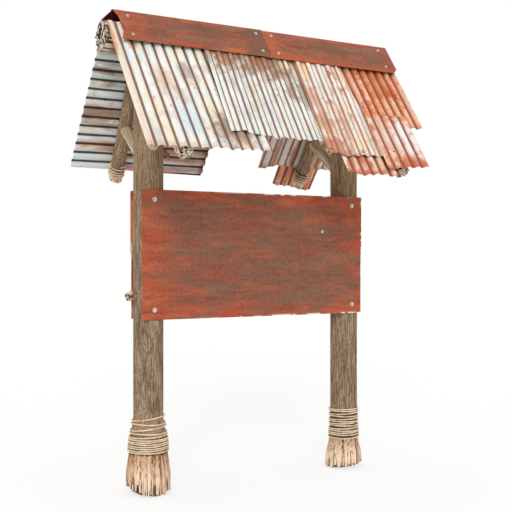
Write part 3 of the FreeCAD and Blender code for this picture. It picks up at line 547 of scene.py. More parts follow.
class Woods:
    """Finishes that the logs of one kind share."""

    def __init__(self, kind: str, crack_mm: float, crack_share: float, slit_level: float) -> None:
        """Builds the three materials.

        Args:
            kind: word for the logs in the materials' names.
            crack_mm: distance between the cracks of a sawn end.
            crack_share: widest crack, against that distance.
            slit_level: chance value below which the frayed wood is dark.
        """
        self.bark = HewnLog("weathered_pine_" + kind).material()
        self.frayed = FrayedWood("splintered_pine_" + kind, slit_level).material()
        self.end = CrackedEnd("cracked_pine_end_" + kind, crack_mm, crack_share).material()


@dataclass(frozen=True)
class PeeledPole:
    """Peeled pole: light tan wood with fine grain along the pole, on a node of the frame."""

    name: str
    along: tuple[float, float, float]
    light: str = "#f4e1c3"
    middle: str = "#bea588"
    dark: str = "#81694b"
    fibre_mm: tuple[float, float] = (6.0, 200.0)

    def material(self) -> Material:
        """Builds the material.

        Returns:
            The finish of one pole.
        """
        t = Tree(self.name)
        place = t.add("TexCoord", out="Object")
        axis = Vector(self.along).normalized()
        side = axis.cross(Vector((0.3, 0.5, 0.81))).normalized()  # any direction that isn't the pole's own
        wide, long = self.fibre_mm
        rows = [t.add("VectorMath", {0: place, 1: way / size * 1000}, out="Value", operation="DOT_PRODUCT")
                for way, size in ((side, wide), (axis.cross(side), wide), (axis, long))]
        grain = t.add("CombineXYZ", dict(enumerate(rows)))
        fibre = t.add("TexNoise", {"Vector": grain, "Scale": 1.0, "Detail": 5.0, "Roughness": 0.6})
        colour = t.add("ValToRGB", {"Fac": fibre}, ramp=(
            (0.32, self.dark), (0.45, self.middle), (0.62, self.light)))
        bump = t.add("Bump", {"Height": fibre, "Strength": 0.4, "Distance": 0.004})
        return t.finish(t.add("BsdfPrincipled", {
            "Base Color": colour, "Roughness": 0.85, "Specular IOR Level": 0.25, "Normal": bump}))


@dataclass(frozen=True)
class HempTwine:
    """Laid hemp twine: dull tan fibres, darker between the strands."""

    name: str
    light: str = "#ffefd6"
    middle: str = "#efd5b4"
    dark: str = "#a98865"
    fibre_mm: float = 4.0  # real fibres are finer, too fine to show
    patch_mm: float = 45.0

    def material(self) -> Material:
        """Builds the material.

        Returns:
            The finish of the twine.
        """
        t = Tree(self.name)
        place = t.add("TexCoord", out="Object")
        fibre = t.add("TexNoise", {"Vector": place, "Scale": 1000 / self.fibre_mm, "Detail": 4.0})
        patch = t.add("TexNoise", {"Vector": place, "Scale": 1000 / self.patch_mm, "Detail": 2.0})
        both = t.add("Mix", {"Factor": 0.45, "A": fibre, "B": patch}, data_type="FLOAT")
        colour = t.add("ValToRGB", {"Fac": both}, ramp=(
            (0.34, self.dark), (0.47, self.middle), (0.60, self.light)))
        bump = t.add("Bump", {"Height": fibre, "Strength": 0.5, "Distance": 0.002})
        return t.finish(t.add("BsdfPrincipled", {
            "Base Color": colour, "Roughness": 0.92, "Specular IOR Level": 0.15, "Normal": bump}))


@dataclass(frozen=True)
class Girth:
    """Radius of a log against the distance from its frayed end."""

    places: tuple[float, ...]
    radii: tuple[float, ...]

    def at(self, z: np.ndarray) -> np.ndarray:
        """Radius at each distance."""
        return np.interp(z, self.places, self.radii)


@dataclass
class Fray:
    """Splintered end of a log: slivers laid round a core that lies back."""

    slivers: int
    length: float
    width: float
    thickness: float
    sunk: float
    ragged: float
    recess: float
    # Painted light: raises the slivers' tone where the end lies in shade under the eaves and the ridge caps.
    painted_light: float = 0.0
    edge: tuple[float, ...] = (0.0,)

    ROWS = 7  # equal lengths of a sliver
    INNER_EVERY = 3  # one sliver in three lies deeper
    SHIFTS = (-0.35, 0.35)
    WIDTHS = (0.55, 1.55)
    BROKEN_SHARE = 0.13
    BROKEN = (0.12, 0.34)
    ROOTS = (0.94, 1.06)
    POINTS = (-0.5, 1.0)
    TAPERS = (0.25, 0.75)
    WANDERS = (-0.08, 0.08)
    LIFTS = (-0.005, 0.003)
    LEANS = (-0.06, 0.06)

    def hewn(self, theta: np.ndarray) -> np.ndarray:
        """Height at which the log is cut off at each angle, between evenly spaced heights of its edge."""
        corners = np.arange(len(self.edge)) * FULL_TURN / len(self.edge)
        return np.interp(theta, corners, self.edge, period=FULL_TURN)

    def blank(self) -> Piece:
        """Adds the block that every sliver is cut from, X across, Z along, Y through.

        Returns:
            The block, one metre each way.
        """
        clear_selection()
        bpy.ops.mesh.primitive_cube_add(size=1.0, location=(0.0, 0.0, 0.5))
        block = bpy.context.object
        bpy.ops.object.transform_apply(location=True, rotation=True, scale=True)
        cut_edges(block, 2, self.ROWS - 1)
        cut_edges(block, 0, 2)
        return block

    def cut(self, girth: Girth, seed: int, material: Material) -> list[Piece]:
        """Makes the slivers round one end, at Z 0.

        Args:
            girth: the log's radius along its length.
            seed: number that fixes the chance values.
            material: finish of the slivers.

        Returns:
            The sliver objects.
        """
        chance = np.random.default_rng(seed)
        block = self.blank()
        across, through, along = points_of(block).T
        row = np.rint(along * self.ROWS).astype(int)
        free = 1 - along
        made = []
        for index in range(self.slivers):
            copy = block.copy()
            copy.data = block.data.copy()
            bpy.context.collection.objects.link(copy)
            inner = index % self.INNER_EVERY == self.INNER_EVERY - 1
            angle = FULL_TURN * (index + chance.uniform(*self.SHIFTS)) / self.slivers
            width = self.width * chance.uniform(*self.WIDTHS)
            tip = abs(chance.normal(0.0, 0.5)) * self.ragged + float(self.hewn(np.array(angle)))
            if chance.uniform() < self.BROKEN_SHARE:
                tip += self.length * chance.uniform(*self.BROKEN)
            root = self.length * chance.uniform(*self.ROOTS)
            point = chance.uniform(*self.POINTS) * width
            z = tip + along * (root - tip) + np.where(row == 0, (0.5 - np.abs(across)) * point, 0.0)
            z = np.maximum(z, 0.0)
            size = girth.at(z)
            narrow = chance.uniform(*self.TAPERS)
            taper = narrow + (1 - narrow) * np.minimum(1.0, along * 2.2)
            wander = chance.uniform(*self.WANDERS, self.ROWS + 1)[row] * width * free
            level = -self.sunk * (0.8 if inner else 0.10) * (1 - along * 0.6) - 0.0015 * along
            lift = chance.uniform(*self.LIFTS) * free ** 2
            r = size + level + lift + (through - 0.5) * self.thickness * (0.45 + 0.55 * free)
            theta = angle - (across * width * taper + wander) / size + chance.uniform(*self.LEANS) * free
            points = np.stack([r * np.cos(theta), r * np.sin(theta), z], axis=1)
            move_points(copy, points)
            store(copy, "grain", points + chance.uniform(0, 3, 3))
            # Inner slivers, which lie deeper, get a darker tone: painted shade.
            pale = chance.uniform(0.0, 0.55 if inner else 1.0)
            store(copy, "tone", np.clip(pale + self.painted_light + 0.3 * free - 0.15, 0.0, 1.0))
            store(copy, "bound", along)
            store(copy, "sink", np.where(through < 0, 0.008, 0.001))
            # Painted shade: a sliver's face toward the core is dark, its edges a little dark, and inner
            # slivers darker towards the tip.
            sliver_shade = np.where(through < 0, 0.9, np.where(np.abs(across) > 0.4, 0.25, 0.0))
            store(copy, "cleft_and_shade", np.clip(sliver_shade + (0.3 if inner else 0.0) * free, 0, 1))
            paint(copy, material)
            made.append(copy)
        bpy.data.objects.remove(block)
        return made


@dataclass
class Log:
    """Hewn log along +Z with a frayed end at Z 0."""

    name: str
    length: float
    girth: Girth
    fray: Fray
    seed: int
    segments: int = 96
    rings: int = 100
    crowd: float = 1.0
    groove: float = 0.0032
    split_mm: tuple[float, float] = (17.0, 330.0)
    frayed_ends: int = 1
    pale_zones: tuple[tuple[float, float, float, float], ...] = ()  # from, to, fade and share
    # Stretch under the twine that is painted dark as shade.
    shade_under_twine: tuple[float, float] = (0.0, 0.0)
    # How dark the hollow middle of each sawn end is painted, as shade in its recess.
    hollow_shade: float = 0.2

    END_CIRCLES = 5
    OTHER_END_SEED = 50
    SMOOTH_UP_TO = math.radians(50.0)

    def blank(self) -> Piece:
        """Adds a unit cylinder from Z 0 to 1 that is cut into rings, with circles in its ends.

        Returns:
            The cylinder.
        """
        clear_selection()
        bpy.ops.mesh.primitive_cylinder_add(vertices=self.segments, radius=1.0, depth=1.0,
                                            end_fill_type="NGON", location=(0.0, 0.0, 0.5))
        piece = bpy.context.object
        piece.name = self.name
        bpy.ops.object.transform_apply(location=True, rotation=True, scale=True)
        cut_edges(piece, 2, self.rings)
        for _ in range(self.END_CIRCLES):
            edit_only(piece, "FACE", [len(face.vertices) > 4 for face in piece.data.polygons])
            bpy.ops.mesh.inset(thickness=1.0 / (self.END_CIRCLES + 1.5), use_individual=True)
            bpy.ops.object.mode_set(mode="OBJECT")
        return piece

    def bark(self, theta: np.ndarray, z: np.ndarray, radius: np.ndarray) -> np.ndarray:
        """Depth of the drying splits, 0 to 1.

        Args:
            theta: angle round the log.
            z: distance along it.
            radius: radius of the log there.

        Returns:
            The depth for each point.
        """
        wide, long = self.split_mm[0] * 0.001, self.split_mm[1] * 0.001
        depth = np.empty(len(z))
        for i, (angle, place, size) in enumerate(zip(theta, z, radius)):
            round_log = size / wide
            spot = Vector((math.cos(angle) * round_log, math.sin(angle) * round_log,
                           place / long + self.seed))
            coarse = noise.noise(spot)
            fine = noise.noise(spot * 2.3 + Vector((7.0, 3.0, 1.0)))
            depth[i] = 0.75 * max(0.0, 1.0 - abs(coarse) * 4.2) + 0.35 * max(0.0, fine)
        return np.clip(depth, 0.0, 1.0)

    def pale(self, z: np.ndarray) -> np.ndarray:
        """Works out where the wood is lighter.

        Args:
            z: distance along the log.

        Returns:
            The share of the lighter wood at each point.
        """
        share = np.zeros(len(z))
        for low, high, fade, most in self.pale_zones:
            zone = np.clip((high - z) / fade, 0.0, 1.0) * np.clip((z - low) / fade, 0.0, 1.0)
            share = np.maximum(share, most * zone)
        return share

    def build(self, woods: Woods) -> Piece:
        """Models the log with its slivers.

        Args:
            woods: finishes of the log, its slivers and its ends.

        Returns:
            One joined mesh.
        """
        core, fray = self.blank(), self.fray
        x, y, up = points_of(core).T
        rho, theta = np.hypot(x, y), np.arctan2(y, x)
        z = self.length * np.clip(up, 0.0, 1.0) ** self.crowd
        cut = fray.hewn(theta) * rho + np.mean(fray.edge) * (1 - rho)
        ends = [z] if self.frayed_ends == 1 else [z, self.length - z]
        radius = self.girth.at(z)
        depth = self.bark(theta, z, radius)
        near = np.max([np.clip((fray.length * 0.9 - d) / (fray.length * 0.25), 0, 1) for d in ends], axis=0)
        side = radius - self.groove * depth - fray.sunk * near
        rough = 1 + 0.7 * np.sin(theta * 5 + rho * 9) * (1 - rho) + 0.5 * np.sin(theta * 11 - rho * 17) * rho
        dip = np.where(np.min(ends, axis=0) < 1e-6, fray.recess * rough, 0.0)
        dip *= np.where(up < 0.5, 1.0, -1.0)
        points = np.stack([rho * side * np.cos(theta), rho * side * np.sin(theta),
                           z + dip + cut * np.clip(1 - z / fray.length, 0.0, 1.0)], axis=1)
        move_points(core, points)
        flat_end = (up < 1e-6) | (up > 1 - 1e-6)
        # Drying splits are real; the dark core under the slivers near a frayed end, the dark hollow middle of
        # each end and the stretch under the twine are painted shade.
        dark = np.where(flat_end, self.hollow_shade * (1 - rho), depth * 0.85 + near * 0.8)
        twine_shade = 0.9 * ((z > self.shade_under_twine[0]) & (z < self.shade_under_twine[1]) & ~flat_end)
        store(core, "grain", points + self.seed * 0.37)
        store(core, "cleft_and_shade", np.clip(np.maximum(dark, twine_shade), 0.0, 1.0))
        store(core, "tone", self.pale(z) * (1 - near))
        store(core, "bound", np.zeros(len(z)))
        store(core, "sink", np.zeros(len(z)))
        paint(core, woods.bark, woods.frayed, woods.end)
        faces = [2 if all(flat_end[i] for i in face.vertices) else 0 for face in core.data.polygons]
        core.data.polygons.foreach_set("material_index", faces)
        pieces = [core, *fray.cut(self.girth, self.seed, woods.frayed)]
        if self.frayed_ends == 2:
            turned = Matrix.Translation((0, 0, self.length)) @ Matrix.Rotation(math.pi, 4, "X")
            for sliver in fray.cut(self.girth, self.seed + self.OTHER_END_SEED, woods.frayed):
                sliver.data.transform(turned)
                pieces.append(sliver)
        whole = join(pieces, self.name)
        select_only(whole)
        bpy.ops.object.shade_smooth_by_angle(angle=self.SMOOTH_UP_TO)
        return whole


def lay(piece: Piece, end: Vector, towards: Vector) -> None:
    """Turns a log from +Z to a direction and moves its frayed end to a point.

    Args:
        piece: log along +Z.
        end: place of its frayed end.
        towards: point that its axis passes through.
    """
    turn = (towards - end).normalized().to_track_quat("Z", "Y").to_matrix().to_4x4()
    piece.data.transform(Matrix.Translation(end) @ turn)
    piece.data.update()


@dataclass(frozen=True)
class Stub:
    """Trimmed branch of a post: the radii are at the post's axis and at the branch's tip."""

    height: float
    way: float
    base: float
    tip: float
    reach: float
    seed: int


@dataclass
class Timber:
    """Posts, ridge log and rafters."""

    girths: dict = field(default_factory=lambda: {
        "left": Girth((0.0, 0.143, 0.276, 0.373, 0.520, 4.0), (0.156, 0.158, 0.138, 0.129, 0.105, 0.105)),
        "right": Girth((0.0, 0.110, 0.226, 0.330, 4.0), (0.145, 0.140, 0.113, 0.105, 0.105))})
    feet: dict = field(default_factory=lambda: {
        "left": Fray(slivers=96, length=0.315, width=0.021, thickness=0.012, sunk=0.018, ragged=0.034,
                     recess=0.010, edge=(0.046, 0.012, 0.0, 0.016, 0.012, 0.006, 0.020, 0.050)),
        "right": Fray(slivers=90, length=0.262, width=0.021, thickness=0.012, sunk=0.018, ragged=0.036,
                      recess=0.010, edge=(0.0, 0.012, 0.024, 0.038, 0.038, 0.020, 0.006, 0.0))})
    rafter_ends: dict = field(default_factory=lambda: {
        "front_left": ((-0.870, -0.0675, 3.0818), (-0.884, -0.6847, 2.2918)),
        "front_right": ((0.802, -0.0675, 3.0818), (0.816, -0.7204, 2.2461)),
        "back_left": ((-0.895, 0.0675, 3.0818), (-0.828, 0.7276, 2.2369)),
        "back_right": ((0.760, 0.0675, 3.0818), (0.823, 0.7128, 2.2558))})
    ridge_fray: Fray = field(default_factory=lambda: Fray(
        slivers=30, length=0.095, width=0.023, thickness=0.010, sunk=0.012,
        ragged=0.010, recess=0.005, painted_light=0.4))
    rafter_fray: Fray = field(default_factory=lambda: Fray(
        slivers=24, length=0.085, width=0.019, thickness=0.008, sunk=0.007,
        ragged=0.014, recess=0.008, painted_light=0.4))
    stub_fray: Fray = field(default_factory=lambda: Fray(
        slivers=12, length=0.05, width=0.020, thickness=0.006, sunk=0.003,
        ragged=0.008, recess=0.004))
    # Painted light: the upper posts are made paler to make up for the roof's shade.
    painted_light_under_roof: tuple = (1.6, 4.0, 0.8, 1.0)
    bleached: tuple = (0.40, 0.57, 0.035, 1.0)
    stubs: tuple[Stub, ...] = (
        Stub(height=1.398, way=-1.0, base=0.052, tip=0.031, reach=0.062, seed=31),
        Stub(height=2.400, way=1.0, base=0.031, tip=0.023, reach=0.060, seed=37))

    STUB_DROP = -0.18  # how far a stub hangs for each metre out
    SADDLE_TRIES = 60
    SADDLE_KEEP = 0.97  # share of its radius that a post's point keeps at each try
    RAFTER_RUN_OUT = 0.08  # a rafter's hollow goes on this far past its top
    RAFTER_TRIES = 80
    RAFTER_STEP = 0.002
    SHEET_MARGIN = 0.006
    SHEET_AIR = 0.0004

    def __post_init__(self) -> None:
        """Makes the finishes that the timbers share."""
        self.woods = Woods("log", crack_mm=46.0, crack_share=0.28, slit_level=0.425)
        self.beam = Woods("beam", crack_mm=46.0, crack_share=0.34, slit_level=0.50)
        self.poles = Woods("pole", crack_mm=44.0, crack_share=0.10, slit_level=0.38)

    def build(self) -> None:
        """Models all the logs."""
        self.build_post("left", 11, (self.bleached, self.painted_light_under_roof), (0.27, 0.395))
        self.build_post("right", 23, (self.painted_light_under_roof,), (0.22, 0.455))
        self.build_ridge_log()
        self.build_rafters()

    def branch(self, post: str, stub: Stub) -> Piece:
        """Models a trimmed branch.

        Args:
            post: post that it grows from.
            stub: its place and size.

        Returns:
            The branch, which starts inside the post.
        """
        length = Frame.POST_R + stub.reach
        girth = Girth((0.0, length * 0.6, length), (stub.tip, stub.base * 0.8, stub.base))
        piece = Log(post + "_stub", length, girth, self.stub_fray, stub.seed, segments=32, rings=16,
                    split_mm=(12.0, 90.0)).build(self.woods)
        start = Vector((Frame.POST_X[post], 0.0, stub.height))
        lay(piece, start + Vector((stub.way, 0.0, self.STUB_DROP)).normalized() * length, start)
        return piece

    def saddle(self, piece: Piece, side: str) -> None:
        """Hollows a post's top for the ridge log and lets the rafters into it.

        Args:
            piece: mesh of the post.
            side: left or right.
        """
        points = points_of(piece)
        y = np.clip(points[:, 1], -Frame.RIDGE_R, Frame.RIDGE_R)
        roof = Frame.RIDGE_Z - np.sqrt(np.maximum((Frame.RIDGE_R + CLEARANCE) ** 2 - y ** 2, 0.0))
        points[:, 2] = np.minimum(points[:, 2], np.minimum(roof, Frame.POST_TOP))
        centre = Frame.POST_X[side]
        for name, (top, tip) in self.rafter_ends.items():
            if not name.endswith(side):
                continue
            start, way = np.array(top), np.array(tip) - np.array(top)
            way = way / np.linalg.norm(way)
            for _ in range(self.SADDLE_TRIES):
                off = points - start
                gone = off - np.outer(off @ way, way)
                inside = np.linalg.norm(gone, axis=1) < Frame.RAFTER_R + CLEARANCE
                inside &= off @ way > -self.RAFTER_RUN_OUT
                if not inside.any():
                    break
                points[inside, 0] = centre + (points[inside, 0] - centre) * self.SADDLE_KEEP
                points[inside, 1] *= self.SADDLE_KEEP
        move_points(piece, points)

    def build_post(self, side: str, seed: int, pale_zones: tuple, shade_under_twine: tuple) -> None:
        """Models a post, the left one with its branch stubs.

        Args:
            side: left or right.
            seed: number that fixes the chance values.
            pale_zones: stretches of lighter wood, from wear and from painted light.
            shade_under_twine: stretch under the twine that is painted dark as shade.
        """
        name = side + "_post_log"
        post = Log(name, Frame.POST_TOP, self.girths[side], self.feet[side], seed, segments=128, crowd=1.5,
                   pale_zones=pale_zones, shade_under_twine=shade_under_twine)
        piece = post.build(self.woods)
        lay(piece, Vector((Frame.POST_X[side], 0.0, 0.0)), Vector((Frame.POST_X[side], 0.0, 1.0)))
        self.saddle(piece, side)
        if side == "left":
            piece = join([piece, *(self.branch(side, stub) for stub in self.stubs)], name)
        install(piece, side + "_post")

    def build_ridge_log(self) -> None:
        """Models the ridge log, hewn flat under the sheets."""
        length = 2 * Frame.RIDGE_END
        ridge = Log("ridge_log_hewn", length, Girth((0.0, length), (Frame.RIDGE_R, Frame.RIDGE_R)),
                    self.ridge_fray, 41, frayed_ends=2)
        piece = ridge.build(self.beam)
        lay(piece, Vector((-Frame.RIDGE_END, 0.0, Frame.RIDGE_Z)), Vector((0.0, 0.0, Frame.RIDGE_Z)))
        points = points_of(piece)
        centre = np.array((0.0, 0.0, Frame.RIDGE_Z))
        under = points[:, 0] > Frame.SHEET_LEFT - self.SHEET_MARGIN
        sink = np.empty(len(points), dtype=np.float32)
        piece.data.attributes["sink"].data.foreach_get("value", sink)
        for slope in Slope:
            out = np.array(Frame.out(slope))
            seat = Frame.ROOF_SEAT - self.SHEET_AIR - sink
            over = np.maximum((points - centre) @ out - seat, 0.0) * under
            points -= np.outer(over, out)
        move_points(piece, points)
        install(piece, "ridge_log")

    def build_rafters(self) -> None:
        """Models the four rafters with frayed tips, cut back where they meet the ridge log."""
        for seed, (name, (top, tip)) in enumerate(self.rafter_ends.items(), 53):
            top, tip = Vector(top), Vector(tip)
            length = (top - tip).length
            girth = Girth((0.0, length), (Frame.RAFTER_R, Frame.RAFTER_R))
            rafter = Log(name + "_rafter_pole", length, girth, self.rafter_fray, seed, segments=64, rings=60,
                         split_mm=(12.0, 260.0), groove=0.0026, shade_under_twine=(0.06, 0.140), hollow_shade=0.0,
                         pale_zones=((0.12, 2.0, 0.2, 0.45),))
            piece = rafter.build(self.poles)
            lay(piece, tip, top)
            points = points_of(piece)
            back = np.array((tip - top).normalized())
            for _ in range(self.RAFTER_TRIES):
                far = np.hypot(points[:, 1], points[:, 2] - Frame.RIDGE_Z)
                inside = far < Frame.RIDGE_R + CLEARANCE
                if not inside.any():
                    break
                points[inside] += back * self.RAFTER_STEP
            move_points(piece, points)
            install(piece, name + "_rafter")


@dataclass
class Lashings:
    """Twine wound round the post feet and the rafter tips."""

    timber: Timber
    radius: float = 0.0053
    wobble: float = 0.0014
    strand_share: float = 0.50
    offset_share: float = 0.56
    lay_length: float = 0.036
    step: float = 0.0040
    to_viewer: float = math.radians(209.5)
    left_loops: tuple = (0.545, 0.509, 0.474, 0.441, 0.414, 0.394, 0.3785, 0.365, 0.350, 0.3365, 0.3215,
                         0.306, 0.2925)
    left_tilts: tuple = (0.010, 0.011, 0.011, 0.009, 0.006, 0.003, 0.002, 0.001, 0.002, 0.001, 0.002,
                         0.001, 0.001)
    right_loops: tuple = (0.466, 0.453, 0.438, 0.412, 0.397, 0.372, 0.359, 0.341, 0.324, 0.300, 0.287, 0.270,
                          0.254, 0.232)
    right_tilts: tuple = (0.001, 0.001, 0.003, 0.004, 0.002, 0.004, 0.001, 0.003, 0.003, 0.003, 0.001, 0.002,
                          0.002, 0.0)
    tip_loops: tuple = (0.049, 0.062, 0.078, 0.098, 0.122, 0.148)

    RUB_AIR = 0.0008  # air between the twine and a foot
    STRANDS = 3
    FOOT_STEPS = 72  # points in a turn
    TIP_STEPS = 56

    def __post_init__(self) -> None:
        """Makes the twine's finish."""
        self.twine = HempTwine("laid_hemp_twine").material()

    def rope(self, name: str, path: np.ndarray) -> Piece:
        """Twists three strands round a path.

        Args:
            name: name of the piece.
            path: points along the middle of the rope.

        Returns:
            The rope as a mesh.
        """
        gone = np.concatenate([[0.0], np.cumsum(np.linalg.norm(np.diff(path, axis=0), axis=1))])
        places = np.arange(0.0, gone[-1], self.step)
        middle = np.stack([np.interp(places, gone, path[:, k]) for k in range(3)], axis=1)
        way = np.gradient(middle, axis=0)
        way /= np.linalg.norm(way, axis=1)[:, None]
        side = np.empty_like(way)
        side[0] = np.cross(way[0], (0.2, 0.5, 0.84))
        side[0] /= np.linalg.norm(side[0])
        for i in range(1, len(way)):
            side[i] = side[i - 1] - way[i] * np.dot(side[i - 1], way[i])
            side[i] /= np.linalg.norm(side[i])
        other = np.cross(way, side)
        curve = bpy.data.curves.new(name, "CURVE")
        curve.dimensions = "3D"
        curve.bevel_depth = self.radius * self.strand_share
        curve.bevel_resolution = 1
        curve.use_fill_caps = True
        reach = self.radius * self.offset_share
        for strand in range(self.STRANDS):
            angle = FULL_TURN * (places / self.lay_length + strand / self.STRANDS)
            line = middle + reach * (np.cos(angle)[:, None] * side + np.sin(angle)[:, None] * other)
            spline = curve.splines.new("POLY")
            spline.points.add(len(line) - 1)
            spline.points.foreach_set("co", np.column_stack([line, np.ones(len(line))]).ravel())
        piece = bpy.data.objects.new(name, curve)
        bpy.context.collection.objects.link(piece)
        select_only(piece)
        bpy.ops.object.convert(target="MESH")
        piece = bpy.context.object
        bpy.ops.object.shade_smooth()
        paint(piece, self.twine)
        return piece

    def foot_path(self, side: str, loops: tuple, tilts: tuple, sag: float) -> np.ndarray:
        """Winding round a flared foot, loose and askew at its top and tight at its bottom.

        Args:
            side: post that it is on.
            loops: height at which each turn starts.
            tilts: how far each turn leans, one turn to the right and the next to the left.
            sag: how far the last turn hangs down on the viewer's side.

        Returns:
            Points along the winding.
        """
        girth = self.timber.girths[side]
        last = len(loops) - 1
        turn = np.linspace(0.0, last, last * self.FOOT_STEPS + 1)
        angle = FULL_TURN * turn
        swing = np.cos(math.pi * (turn - self.to_viewer / FULL_TURN))
        lean = np.interp(turn, range(len(tilts)), tilts) * swing
        z = np.interp(turn, range(len(loops)), loops) + lean * np.sin(self.to_viewer - angle)
        z += self.wobble * np.sin(1.37 * angle + 0.8) * np.sin(0.61 * angle)  # no two turns alike
        facing = np.maximum(0.0, np.cos(angle - self.to_viewer + 0.5))
        z -= sag * np.clip(turn - last + 1.0, 0.0, 1.0) * facing
        wide = np.max([girth.at(z + step) for step in (-self.radius, 0.0, self.radius)], axis=0)
        r = wide + self.radius + self.RUB_AIR
        return np.stack([Frame.POST_X[side] + r * np.sin(angle), r * np.cos(angle), z], axis=1)

    def tip_path(self, name: str) -> np.ndarray:
        """Winding round a rafter near its tip.

        Args:
            name: name of the rafter.

        Returns:
            Points along the winding.
        """
        top, tip = (Vector(p) for p in self.timber.rafter_ends[name])
        axis = (top - tip).normalized()
        upright = Frame.out(Slope.FRONT if name.startswith("front") else Slope.BACK)
        across = axis.cross(upright)
        last = len(self.tip_loops) - 1
        r = Frame.RAFTER_R + Frame.TWINE_R + CLEARANCE
        path = []
        for turn in np.linspace(0.0, last, last * self.TIP_STEPS + 1):
            angle = FULL_TURN * turn
            spoke = upright * -math.cos(angle) + across * math.sin(angle)
            path.append(tip + axis * np.interp(turn, range(last + 1), self.tip_loops) + spoke * r)
        return np.array(path)

    def build(self) -> None:
        """Winds all six lashings."""
        for side, loops, tilts, sag in (("left", self.left_loops, self.left_tilts, 0.0),
                                        ("right", self.right_loops, self.right_tilts, 0.012)):
            path = self.foot_path(side, loops, tilts, sag)
            install(self.rope(side + "_foot_lashing", path), side + "_foot_binding")
        for name in self.timber.rafter_ends:
            install(self.rope(name + "_tip_lashing", self.tip_path(name)), name + "_binding")


@dataclass(frozen=True)
class Stain:
    """Soft patch on a sheet or plate: middle and reach across and down, colour and strength."""

    across: float
    down: float
    wide: float
    long: float
    colour: str
    strength: float

    def veil(self, t: Tree, s: Socket, v: Socket, wavy: Socket) -> tuple:
        """Adds the nodes that measure how far a point lies from the patch.

        Args:
            t: tree of the material.
            s: place across.
            v: place down.
            wavy: chance value that makes the patch's edge ragged.

        Returns:
            The measure, where it starts and is full, the strength and the colour.
        """
        offs = []
        for place, middle, reach in ((s, self.across, self.wide), (v, self.down, self.long)):
            off = t.add("Math", {0: place, 1: middle}, operation="SUBTRACT")
            offs.append(t.add("Math", {0: off, 1: reach}, operation="DIVIDE"))
        far = t.add("VectorMath", {0: t.add("CombineXYZ", dict(enumerate(offs)))}, out="Value",
                    operation="LENGTH")
        ragged = t.add("Math", {0: far, 1: wavy}, operation="ADD")
        return ragged, 1.2, 0.4, self.strength, self.colour


